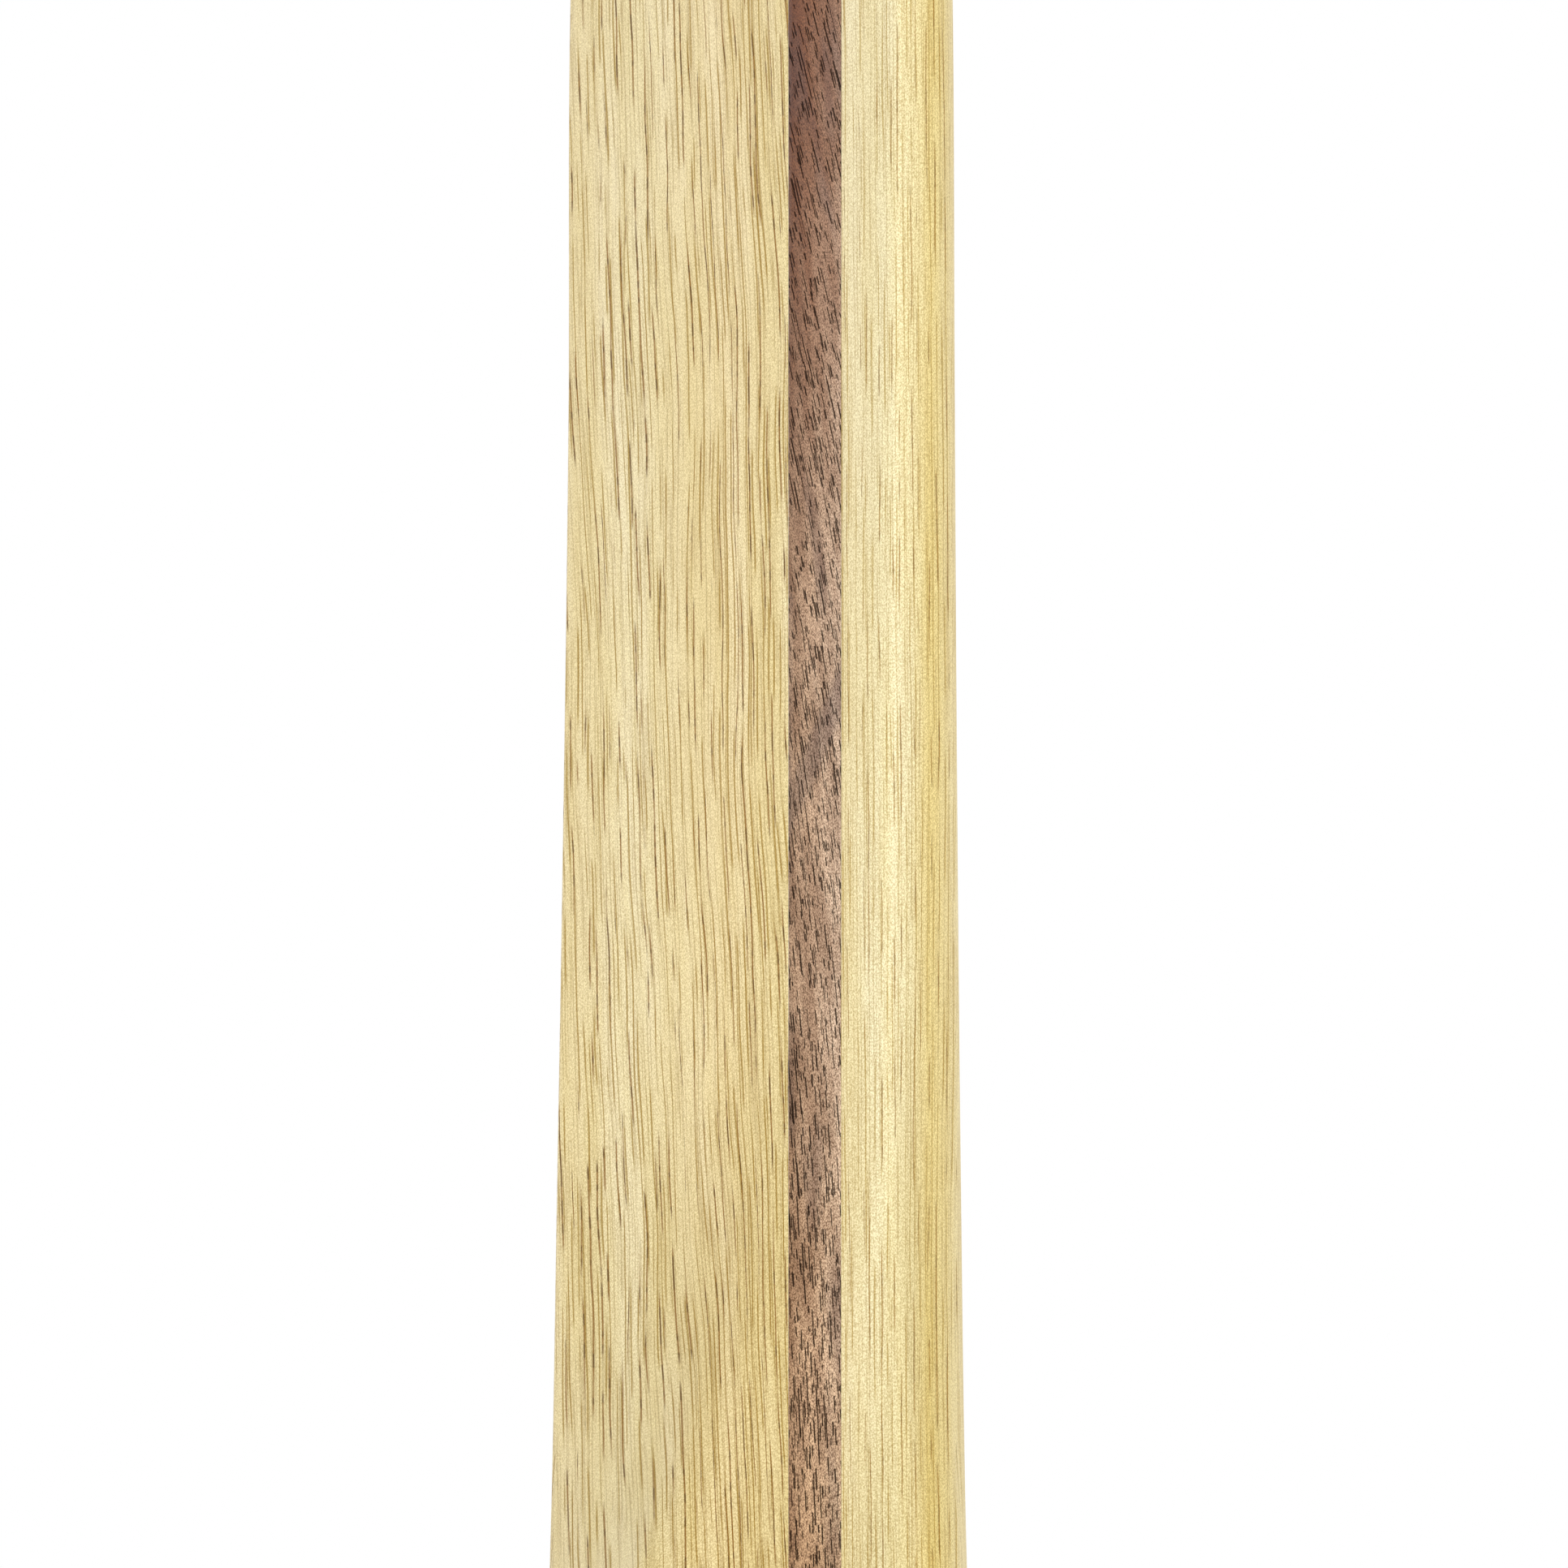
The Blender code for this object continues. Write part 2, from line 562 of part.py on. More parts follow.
def groove(side, edge_radius, low, high):
    # Points of a ball groove in a ring's face. side is 1 for the outer ring and -1 for the inner ring.
    middle = (low + high) / 2
    radius = BALL_RADIUS + FIT
    half_angle = math.acos((edge_radius - BALL_CIRCLE_RADIUS) * side / radius)
    points = []
    for step in range(GROOVE_STEPS + 1):
        angle = half_angle * (2 * step / GROOVE_STEPS - 1)
        points.append((BALL_CIRCLE_RADIUS + side * radius * math.cos(angle),
                       middle + radius * math.sin(angle)))
    return points


def make_bearing(name, low, fixed_axis, spin_axis, steel, cage_metal):
    high = low + BEARING_WIDTH
    inner_edge = RING_INSIDE + BEARING_SHOULDER
    outer_edge = RING_OUTSIDE - BEARING_SHOULDER
    turned(f"{name}_inner", [(RING_INSIDE, low), (inner_edge, low)] + groove(-1, inner_edge, low, high)
           + [(inner_edge, high), (RING_INSIDE, high)], steel, spin_axis, INNER_STEPS)
    turned(f"{name}_outer", [(RING_OUTSIDE, low), (outer_edge, low)] + groove(1, outer_edge, low, high)
           + [(outer_edge, high), (RING_OUTSIDE, high)], steel, fixed_axis, INNER_STEPS)
    middle = (low + high) / 2
    half_cage = CAGE_THICKNESS / 2
    cage = turned(f"{name}_balls", plain_ring(BALL_CIRCLE_RADIUS - half_cage, BALL_CIRCLE_RADIUS + half_cage,
                                              middle - CAGE_WIDTH / 2, middle + CAGE_WIDTH / 2),
                  cage_metal, axis_empty(f"{name}_cage_axis"), INNER_STEPS)

    def balls(work):
        for at in circle_places(BALL_COUNT, 2 * BALL_CIRCLE_RADIUS):
            bmesh.ops.create_uvsphere(work, u_segments=BALL_STEPS, v_segments=BALL_STEPS // 2,
                                      radius=BALL_RADIUS,
                                      matrix=Matrix.Translation((at[0], at[1], middle)))
    combine(cage, as_cutter(bpy.data.objects.new(f"{name}_ball_set", mesh_from(f"{name}_ball_set", balls)),
                            spin_axis), "UNION")


def make_ribs(axis):
    # Gussets from the barrel to the mounting flange, between the mounting holes
    inner = BARREL_DIAMETER / 2 - BARREL_FILLET
    outer = MOUNT_FLANGE_DIAMETER / 2 - 2 * CHAMFER
    low = MOUNT_FLANGE_THICKNESS / 2
    high = MOUNT_FLANGE_THICKNESS + RIB_LENGTH

    def build(work):
        for number in range(RIB_COUNT):
            made = bmesh.ops.create_cube(work, size=1.0)["verts"]
            turn = Matrix.Rotation(2 * math.pi * number / RIB_COUNT, 3, "Z")
            for vert in made:
                front = vert.co.z > 0
                reach = outer if not front else BARREL_DIAMETER / 2
                out = reach if vert.co.x > 0 else inner
                vert.co = turn @ Vector((out, RIB_WIDTH * vert.co.y, high if front else low))
    return as_cutter(bpy.data.objects.new("rib_set", mesh_from("rib_set", build)), axis)


def make_bearing_unit(axis, cast_aluminium, dark_steel, rubber):
    flange = MOUNT_FLANGE_DIAMETER / 2
    barrel = BARREL_DIAMETER / 2
    bore = BEARING_OUTSIDE / 2
    mouth = SEAL_OUTSIDE / 2
    recess = COVER_DIAMETER / 2 + FIT
    floor = COVER_FRONT + FIT
    fillet = [(barrel + BARREL_FILLET * (1 - math.sin(QUARTER_TURN * step / FILLET_STEPS)),
               MOUNT_FLANGE_THICKNESS + BARREL_FILLET * (1 - math.cos(QUARTER_TURN * step / FILLET_STEPS)))
              for step in range(FILLET_STEPS + 1)]
    housing = turned("bearing_housing", [
        (recess, 0.0), (flange - CHAMFER, 0.0), (flange, CHAMFER), (flange, MOUNT_FLANGE_THICKNESS - CHAMFER),
        (flange - CHAMFER, MOUNT_FLANGE_THICKNESS), *fillet, (barrel, HOUSING_LENGTH - 2 * CHAMFER),
        (barrel - 2 * CHAMFER, HOUSING_LENGTH), (mouth, HOUSING_LENGTH), (mouth, BEARING_STEP),
        (bore, BEARING_STEP), (bore, floor), (recess, floor)], cast_aluminium, axis)
    between_ribs = math.pi / RIB_COUNT
    combine(housing, make_ribs(axis), "UNION")
    combine(housing, ring_of_prisms("mount_hole_cutter", MOUNT_HOLE_COUNT, MOUNT_HOLE_CIRCLE,
                                    MOUNT_HOLE_DIAMETER / 2, -PAST, MOUNT_FLANGE_THICKNESS + PAST, axis,
                                    between_ribs))
    head_rear = SCREW_SOCKET_DEPTH / 4
    head_front = head_rear + SCREW_HEAD_HEIGHT
    screw_front = COVER_FRONT + SCREW_LENGTH
    screw_radius = SCREW_DIAMETER / 2
    head = SCREW_HEAD_DIAMETER / 2
    combine(housing, ring_of_prisms("tapped_hole_cutter", SCREW_COUNT, SCREW_CIRCLE, screw_radius + FIT,
                                    0.0, screw_front + FIT, axis, between_ribs))

    spigot_outside = bore - FIT
    cover = turned("rear_cover", [
        (0.0, COVER_FRONT), (spigot_outside - COVER_SPIGOT_WALL, COVER_FRONT),
        (spigot_outside - COVER_SPIGOT_WALL, REAR_BEARING_PLACE - FIT),
        (spigot_outside, REAR_BEARING_PLACE - FIT),
        (spigot_outside, COVER_FRONT), (COVER_DIAMETER / 2, COVER_FRONT), (COVER_DIAMETER / 2, CHAMFER / 2),
        (COVER_DIAMETER / 2 - CHAMFER / 2, 0.0), (0.0, 0.0)], cast_aluminium, axis)
    combine(cover, ring_of_prisms("screw_hole_cutter", SCREW_COUNT, SCREW_CIRCLE, screw_radius + FIT,
                                  -PAST, COVER_FRONT + PAST, axis, between_ribs))
    combine(cover, ring_of_prisms("head_seat_cutter", SCREW_COUNT, SCREW_CIRCLE, head + FIT,
                                  -PAST, head_front + FIT, axis, between_ribs))

    edge = CHAMFER / 2
    screw = turned("screw", [
        (0.0, screw_front), (screw_radius - edge, screw_front), (screw_radius, screw_front - edge),
        (screw_radius, head_front), (head, head_front), (head, head_rear + edge), (head - edge, head_rear),
        (0.0, head_rear)], dark_steel, axis, SMALL_STEPS)
    combine(screw, ring_of_prisms("socket_cutter", 1, 0.0, SCREW_SOCKET_FLATS / math.sqrt(3), -PAST,
                                  head_rear + SCREW_SOCKET_DEPTH, axis, sides=6))
    copies("cover_screw", screw, SCREW_COUNT, SCREW_CIRCLE, dark_steel, axis, between_ribs)

    turned("shaft_seal", bevelled_ring(JOURNAL_DIAMETER / 2 + FIT, mouth - FIT, SEAL_REAR, SEAL_FRONT,
                                       CHAMFER / 2), rubber, axis)


def main():
    pale_wood = finish("satin_limba", (0.72, 0.56, 0.32), 0.45, 0.0)
    walnut = finish("satin_walnut", (0.24, 0.15, 0.10), 0.45, 0.0)
    aluminium = finish("machined_aluminium", (0.72, 0.73, 0.75), 0.32, 1.0)
    cast_aluminium = finish("cast_aluminium", (0.50, 0.51, 0.53), 0.55, 1.0)
    bright_steel = finish("ground_steel", (0.60, 0.60, 0.61), 0.25, 1.0)
    zinc_steel = finish("zinc_plated_steel", (0.66, 0.67, 0.68), 0.35, 1.0)
    dark_steel = finish("blackened_steel", (0.05, 0.05, 0.055), 0.45, 1.0)
    bronze = finish("bearing_bronze", (0.55, 0.36, 0.18), 0.35, 1.0)
    rubber = finish("nitrile_rubber", (0.02, 0.02, 0.02), 0.65, 0.0)

    fixed_axis = axis_empty("bearing_unit_axis")
    spin_axis = axis_empty("spin_axis")
    make_bearing_unit(fixed_axis, cast_aluminium, dark_steel, rubber)
    make_bearing("front_bearing", FRONT_BEARING_PLACE, fixed_axis, spin_axis, bright_steel, bronze)
    make_bearing("rear_bearing", REAR_BEARING_PLACE, fixed_axis, spin_axis, bright_steel, bronze)
    make_shaft(spin_axis, bright_steel)
    make_boards(spin_axis, pale_wood, walnut)
    make_hub_hardware(spin_axis, aluminium, bright_steel, zinc_steel, bronze)


clear_scene()
PARTS = new_collection("wooden_propeller")
CUTTERS = new_collection("cutters")
main()
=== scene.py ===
from functools import partial
import json
import math

import bpy
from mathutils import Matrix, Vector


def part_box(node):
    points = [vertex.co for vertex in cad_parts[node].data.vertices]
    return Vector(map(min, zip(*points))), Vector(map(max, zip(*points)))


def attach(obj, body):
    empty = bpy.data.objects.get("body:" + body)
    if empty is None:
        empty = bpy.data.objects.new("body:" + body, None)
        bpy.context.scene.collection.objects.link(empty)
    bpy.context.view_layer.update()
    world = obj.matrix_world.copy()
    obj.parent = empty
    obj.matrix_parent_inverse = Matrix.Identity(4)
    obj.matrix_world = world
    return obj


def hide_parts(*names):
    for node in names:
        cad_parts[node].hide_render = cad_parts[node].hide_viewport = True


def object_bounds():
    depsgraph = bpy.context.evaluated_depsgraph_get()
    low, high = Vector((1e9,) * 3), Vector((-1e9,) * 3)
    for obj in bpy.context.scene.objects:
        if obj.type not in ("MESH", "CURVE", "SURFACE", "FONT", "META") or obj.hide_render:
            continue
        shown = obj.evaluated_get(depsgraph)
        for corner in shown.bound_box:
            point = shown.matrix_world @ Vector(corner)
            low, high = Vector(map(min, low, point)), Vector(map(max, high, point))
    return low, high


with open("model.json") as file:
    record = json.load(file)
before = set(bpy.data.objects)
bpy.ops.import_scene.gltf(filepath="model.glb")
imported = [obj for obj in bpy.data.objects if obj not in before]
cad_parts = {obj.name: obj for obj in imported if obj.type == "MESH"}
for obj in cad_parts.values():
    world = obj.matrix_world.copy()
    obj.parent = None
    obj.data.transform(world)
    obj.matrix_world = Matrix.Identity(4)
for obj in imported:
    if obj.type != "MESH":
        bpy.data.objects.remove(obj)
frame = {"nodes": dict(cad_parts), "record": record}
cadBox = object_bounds()
nodes = frame["nodes"]
scene = bpy.context.scene
print("frame loaded:", len(nodes), "nodes")

quarterTurn = math.pi / 2
onAxis = [(0.0, 0.0)]
fit = 0.0003                    # gap between pieces that seat on each other
past = 0.002                    # how far a cutter runs out of the metal
weld = 0.000001                 # points this close are one point
mm = 1000.0                     # millimetres in a metre
smoothAngle = 35                # edges flatter than this, in degrees, are shaded smooth
soft = {"interpolation_type": "SMOOTHSTEP"}     # bands that fade in and out gently

# Sides of round pieces and holes
wideRound = 128
plainRound = 96
smallRound = 64
boltRound = 48
holeRound = 32
hexSides = 6


# Hand tools

def linear(hexColour):
    values = [int(hexColour[i:i + 2], 16) / 255 for i in (0, 2, 4)]
    return [v / 12.92 if v <= 0.04045 else ((v + 0.055) / 1.055) ** 2.4 for v in values] + [1.0]


def addNode(tree, kind, inputs=None, pick=0, **settings):
    # Adds one node with its settings and links; gives its picked output, or itself when none is picked
    node = tree.nodes.new("ShaderNode" + kind)
    for key, value in settings.items():
        setattr(node, key, value)
    for socket, value in (inputs or {}).items():
        if isinstance(value, bpy.types.NodeSocket):
            tree.links.new(value, node.inputs[socket])
        else:
            node.inputs[socket].default_value = value
    return node if pick is None else node.outputs[pick]


def connect(shader, sources):
    for socket, source in sources.items():
        shader.id_data.links.new(source, shader.inputs[socket])


def newMaterial(name):
    material = bpy.data.materials.new(name)
    material.use_nodes = True
    tree = material.node_tree
    return material, partial(addNode, tree), tree.nodes["Principled BSDF"]


def selectOnly(piece):
    bpy.ops.object.select_all(action="DESELECT")
    piece.select_set(True)
    bpy.context.view_layer.objects.active = piece


def editAll(piece):
    selectOnly(piece)
    bpy.ops.object.mode_set(mode="EDIT")
    bpy.ops.mesh.select_all(action="SELECT")


def objectMode():
    bpy.ops.object.mode_set(mode="OBJECT")


def applyModifier(piece, kind, **settings):
    modifier = piece.modifiers.new(kind.lower(), kind)
    for key, value in settings.items():
        setattr(modifier, key, value)
    selectOnly(piece)
    bpy.ops.object.modifier_apply(modifier=modifier.name)


def freezePlace(piece):
    selectOnly(piece)
    bpy.ops.object.transform_apply(location=True, rotation=True, scale=True)


def duplicate(piece):
    selectOnly(piece)
    bpy.ops.object.duplicate()
    return bpy.context.object


def joinPieces(pieces):
    selectOnly(pieces[0])
    for piece in pieces[1:]:
        piece.select_set(True)
    bpy.ops.object.join()
    return pieces[0]


def boolean(piece, other, operation):
    applyModifier(piece, "BOOLEAN", operation=operation, solver="EXACT", object=other)
    bpy.data.objects.remove(other, do_unlink=True)


def rod(radius, low, high, spot=(0.0, 0.0), sides=holeRound):
    # A closed bar along the shaft, from one place to another
    bpy.ops.mesh.primitive_cylinder_add(vertices=sides, radius=radius, depth=high - low,
                                        rotation=(0, quarterTurn, 0),
                                        location=((low + high) / 2, *spot))
    piece = bpy.context.object
    freezePlace(piece)
    return piece


def drill(piece, radius, low, high, spots, sides=holeRound):
    boolean(piece, joinPieces([rod(radius, low, high, spot, sides) for spot in spots]), "DIFFERENCE")


def roundEdge(radius, place, size, start, end, steps=4):
    # Points of a rounded edge; angles in degrees, 0 straight out and 90 to the front
    angles = [math.radians(start + (end - start) * step / steps) for step in range(steps + 1)]
    return [(radius + size * math.cos(angle), place + size * math.sin(angle)) for angle in angles]


def turnPiece(profile, segments=plainRound, ring=True):
    # Lathe work: a circle is extruded along the shaft and scaled, from point to point of (radius, place)
    radius, place = profile[0]
    bpy.ops.mesh.primitive_circle_add(vertices=segments, radius=radius, location=(place, 0, 0),
                                      rotation=(0, quarterTurn, 0), fill_type="NOTHING" if ring else "NGON")
    piece = bpy.context.object
    freezePlace(piece)
    editAll(piece)
    for (radius, place), (nextRadius, nextPlace) in zip(profile, profile[1:]):
        bpy.ops.mesh.extrude_region_move(TRANSFORM_OT_translate={"value": (nextPlace - place, 0, 0)})
        scale = nextRadius / radius
        bpy.ops.transform.resize(value=(1, scale, scale), center_override=(nextPlace, 0, 0))
    if ring:
        bpy.ops.mesh.select_all(action="DESELECT")
        bpy.ops.mesh.select_non_manifold()
        bpy.ops.mesh.bridge_edge_loops()
    bpy.ops.mesh.select_all(action="SELECT")
    bpy.ops.mesh.normals_make_consistent(inside=False)
    objectMode()
    return piece


hexEnd = {"past": 0.0002, "slope": 30, "faceShare": 0.475, "coneShare": 1.01}


def hexBlock(flats, low, high, rearChamfer=True):
    # A hexagon bar whose ends are turned off on a slope, as on a bolt head
    corner = flats / math.sqrt(3)
    block = rod(corner, low, high, sides=hexSides)
    run, face, wide = hexEnd["past"], hexEnd["faceShare"] * flats, hexEnd["coneShare"] * corner
    slope = math.tan(math.radians(hexEnd["slope"]))
    drop = (wide - face) * slope
    tip = face - run / slope
    rear = [(tip, low - run), (wide, low + drop)] if rearChamfer else [(wide, low - run)]
    cone = turnPiece(rear + [(wide, high - drop), (tip, high + run)], boltRound, ring=False)
    boolean(block, cone, "INTERSECT")
    return block


def middle(node):
    low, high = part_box(node)
    return (low + high) / 2


def spotsOf(name, count):
    places = [middle(f"{name}_{number}") for number in range(1, count + 1)]
    return [(place.y, place.z) for place in places]


def finishPiece(piece, name, body, slot, replaced, angle=smoothAngle, material=None):
    freezePlace(piece)
    bpy.ops.object.shade_smooth_by_angle(angle=math.radians(angle))
    piece.name = name
    piece.data.name = name
    piece.data.materials.clear()
    piece.data.materials.append(material or finishes[slot])
    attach(piece, body)
    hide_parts(replaced)


def finishCopies(first, name, count, body, slot):
    # One shape, modelled on the shaft axis, goes to the place of each numbered solid
    for number, (across, up) in enumerate(spotsOf(name, count), start=1):
        piece = duplicate(first)
        piece.location = (0, across, up)
        finishPiece(piece, f"{name}_{number}_turned", body, slot, f"{name}_{number}")
    bpy.data.objects.remove(first, do_unlink=True)


# Camera: the photograph looks at one blade edge-on, across the shaft

view = {
    "imagePixels": 1932,
    "pixelSize": 0.0001,        # the walnut layer is 64 pixels and 6.4 mm wide
    "walnutPixel": 973,         # where the walnut layer starts, at its left edge
    "bottomSpan": 0.110,        # height of the image's lower edge above the shaft
    "lens": 300.0,
    "sensor": 36.0,
}
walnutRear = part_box("walnut_layer")[0].x
frameSize = view["imagePixels"] * view["pixelSize"]
cameraX = walnutRear + (view["imagePixels"] / 2 - view["walnutPixel"]) * view["pixelSize"]
cameraZ = view["bottomSpan"] + frameSize / 2
cameraBack = frameSize * view["lens"] / view["sensor"]
cameraData = bpy.data.cameras.new("photoCamera")
cameraData.lens = view["lens"]
cameraData.sensor_width = view["sensor"]
camera = bpy.data.objects.new("photoCamera", cameraData)
camera.location = (cameraX, -cameraBack, cameraZ)
camera.rotation_euler = (quarterTurn, 0, 0)
scene.collection.objects.link(camera)
scene.camera = camera
print("camera at", [round(v, 4) for v in camera.location])


# Wood finishes, all sizes in millimetres

halfLayer = 3.2                 # half of the walnut layer
walnutMiddle = middle("walnut_layer").x
glueRear = walnutMiddle * mm - halfLayer
glueFront = walnutMiddle * mm + halfLayer
varnishIor = 1.46

# The wood is a little darker towards the hub, and the limba's root gets painted shade, darkest beside the
# glue lines where its rounder faces turn to the key lamp
rootToneAndShade = {"reach": (105.0, 178.0), "walnut": "ECE3CF", "shadeBesideGlue": "E0DBC8", "apart": "FBFAF2"}

# How far vessels differ from one another, in shares of a row or of a half width
vesselHabit = {"laneStep": 7.31, "startSpread": 40.0, "placeSpread": 0.7, "placeLow": 0.15,
               "widthSpread": 0.8, "widthLeast": 0.6, "softEdge": (0.5, 1.1)}

rearLimba = {
    "light": "F9EFCC", "body": "F4E8BC", "yellow": "E6D596", "olive": "A4842C", "brown": "8E6018",
    "dark": "3A2408", "gritDark": "D2C8B2",
    # where the broad face of the board starts, and the size of the strips that fray its border
    "broadFrom": 0.45, "fray": (1.6, 1.6, 45.0), "frayReach": 0.50,
    # how the growth rings stand in the board: across, through and along the grain
    "rings": (1, 0.015, 0.032),
    # size across, through and along the grain, then how far it pushes the grain aside
    "wander": (((18, 60, 58), 1.5), ((5, 60, 18), 0.28)),
    # size, detail, then the band of noise that shows
    "layers": {
        "clouds": ((2.2, 24, 34), 2.0, 0.32, 0.68),
        "bands": ((4.5, 40, 120), 1.0, 0.38, 0.62),
        "smudges": ((0.55, 8, 20), 1.0, 0.54, 0.74),
        "rays": ((1.2, 1.0, 0.34), 1.0, 0.50, 0.78),
        "grit": ((0.15, 0.18, 0.22), 1.0, 0.30, 0.70),
    },
    # vessel lines: distance apart, half width, sideways play, length, and the band of noise that shows
    "vessels": {
        "hair": (0.41, 0.075, 0.30, 14.0, 0.40, 0.60),
        "line": (0.66, 0.098, 0.36, 15.0, 0.44, 0.58),
        "vein": (1.13, 0.098, 0.50, 13.0, 0.47, 0.60),
    },
    # where a vein is cut open: length, and the band of noise that shows
    "opened": (1.9, 0.52, 0.64),
    # where the lines crowd together: middle, reach and how much more shows
    "crowd": (glueRear - 5.6, 6.5, 0.09),
    # painted over the body colour in turn: the mask and its colour, then the strength of each
    "coats": {"clouds": "light", "bands": "yellow", "smudges": "olive", "hair": "olive", "line": "olive",
              "vein": "brown", "core": "dark", "rays": "olive"},
    "shares": (1.0, 0.30, 0.24, 0.42, 0.75, 0.80, 0.55, 0.30),
    # from apart to beside the glue line, for the rays and for the root's painted shade
    "rayReach": (glueRear - 5.0, glueRear - 0.5),
    "rootReach": (glueRear - 28.0, glueRear - 4.0),
    # across the board: partly the wood's own tone, partly painted shade
    "toneAndShade": ((0.0, "FDF8EE"), (0.35, "FFFDF8"), (0.75, "FDF6E8"), (1.0, "FFFBF0")),
    "toneAndShadeReach": (glueRear - 30.0, glueRear),
    # over sound wood, then over open vessels: gloss and film; then the vessels' bump and its depth in metres
    "gloss": (0.42, 0.58), "film": (0.32, 0.06), "bump": (0.22, 0.00004),
}
frontLimba = {
    **rearLimba,
    "light": "F8F1D3", "body": "F6EDC8", "olive": "B69848", "brown": "A67E32", "rings": (1, 0.01, 0.006),
    "wander": (((22, 60, 110), 0.7), ((6, 60, 50), 0.10)),
    "vessels": {
        "hair": (0.43, 0.072, 0.26, 14.0, 0.37, 0.57),
        "line": (0.70, 0.086, 0.30, 16.0, 0.42, 0.58),
        "vein": (1.21, 0.086, 0.40, 13.0, 0.48, 0.61),
    },
    "crowd": (glueFront + 11.0, 4.0, 0.03),
    "shares": (1.0, 0.20, 0.12, 0.39, 0.64, 0.68, 0.30, 0.14),
    "rayReach": (glueFront + 6.0, glueFront + 0.5),
    "rootReach": (glueFront + 14.0, glueFront + 4.0),
    # across the board: partly the wood's own tone, partly painted shade where the lamps' highlight falls
    "toneAndShade": ((0.0, "FCF8EE"), (0.3, "FDFCF6"), (0.54, "FAF6E6"), (0.68, "FBEFC0"), (1.0, "FFF8E0")),
    "toneAndShadeReach": (glueFront, glueFront + 15.8),
}


def millimetres(add):
    # The piece's own coordinates, whole and then split
    place = add("TexCoord", pick="Object")
    flat = add("VectorMath", {0: place, "Scale": mm}, operation="SCALE")
    return [flat, *add("SeparateXYZ", {0: flat}, None).outputs]


def grainMasks(add, fibre, layers):
    # Clouds and specks that are stretched along the fibre
    masks = {}
    for key, (size, detail, low, high) in layers.items():
        spread = add("VectorMath", {0: fibre, 1: [1 / s for s in size]}, operation="MULTIPLY")
        noise = add("TexNoise", {"Vector": spread, "Scale": 1.0, "Detail": detail})
        masks[key] = add("MapRange", {"Value": noise, 1: low, 2: high}, **soft)
    return masks


def vesselLines(add, across, along, vessel, more):
    # Vessels cut lengthwise: each keeps to its own row of the grain, with its own place, width and length
    apart, halfWidth, play, length, low, high = vessel
    habit = vesselHabit
    sway, half = play / apart, halfWidth / apart
    rows = add("Math", {0: across, 1: 1 / apart}, operation="MULTIPLY")
    row = add("Math", {0: rows}, operation="FLOOR")
    within = add("Math", {0: rows}, operation="FRACT")
    luck = add("TexWhiteNoise", {"W": row}, "Color", noise_dimensions="1D")
    placeLuck, widthLuck, startLuck = add("SeparateXYZ", {0: luck}, None).outputs
    lane = add("Math", {0: row, 1: habit["laneStep"]}, operation="MULTIPLY")
    start = add("Math", {0: startLuck, 1: habit["startSpread"]}, operation="MULTIPLY")
    step = add("Math", {0: along, 1: 1 / length, 2: start}, operation="MULTIPLY_ADD")
    track = add("CombineXYZ", {0: lane, 1: step})
    noise = add("TexNoise", {"Vector": track, "Scale": 1.0, "Detail": 1.0}, None, noise_dimensions="2D")
    aside = add("SeparateXYZ", {0: noise.outputs["Color"]}, 1)
    within = add("Math", {0: aside, 1: sway, 2: within}, operation="MULTIPLY_ADD")
    placed = {0: placeLuck, 1: habit["placeSpread"], 2: habit["placeLow"] + sway / 2}
    centre = add("Math", placed, operation="MULTIPLY_ADD")
    off = add("Math", {0: within, 1: centre}, operation="SUBTRACT")
    off = add("Math", {0: off}, operation="ABSOLUTE")
    widths = {0: widthLuck, 1: habit["widthSpread"] * half, 2: habit["widthLeast"] * half}
    width = add("Math", widths, operation="MULTIPLY_ADD")
    share = add("Math", {0: off, 1: width}, operation="DIVIDE")
    core, rim = habit["softEdge"]
    line = add("MapRange", {"Value": share, 1: core, 2: rim, 3: 1.0, 4: 0.0})
    fuller = add("Math", {0: noise.outputs["Fac"], 1: more}, operation="ADD")
    shown = add("MapRange", {"Value": fuller, 1: low, 2: high}, **soft)
    return add("Math", {0: line, 1: shown}, operation="MULTIPLY"), lane


def colourWood(add, look, masks, across, along, rootShade):
    # The coats of the wood, then its sanding marks, the tone across the layer with its painted shade, and the
    # darker tone towards the hub with the root's painted shade
    white = linear("FFFFFF")
    colour = linear(look["body"])
    for (key, paint), amount in zip(look["coats"].items(), look["shares"]):
        share = add("Math", {0: masks[key], 1: amount}, operation="MULTIPLY")
        colour = add("Mix", {0: share, 6: colour, 7: linear(look[paint])}, 2, data_type="RGBA")
    sanded = {0: masks["grit"], 6: linear(look["gritDark"]), 7: white}
    sanding = add("Mix", sanded, 2, data_type="RGBA")
    # The tone across the layer is partly the wood's own and partly painted shade
    ramp = add("ValToRGB", {0: across}, None)
    while len(ramp.color_ramp.elements) < len(look["toneAndShade"]):
        ramp.color_ramp.elements.new(0.5)
    for element, (position, hexColour) in zip(ramp.color_ramp.elements, look["toneAndShade"]):
        element.position = position
        element.color = linear(hexColour)
    # Darker towards the hub, with painted shade beside the glue lines
    rootLow, rootHigh = rootToneAndShade["reach"]
    span = add("Math", {0: along}, operation="ABSOLUTE")
    away = add("MapRange", {"Value": span, 1: rootLow, 2: rootHigh})
    root = add("Mix", {0: away, 6: rootShade, 7: white}, 2, data_type="RGBA")
    for tint in (sanding, ramp.outputs[0], root):
        colour = add("Mix", {0: 1.0, 6: colour, 7: tint}, 2, data_type="RGBA", blend_type="MULTIPLY")
    return colour


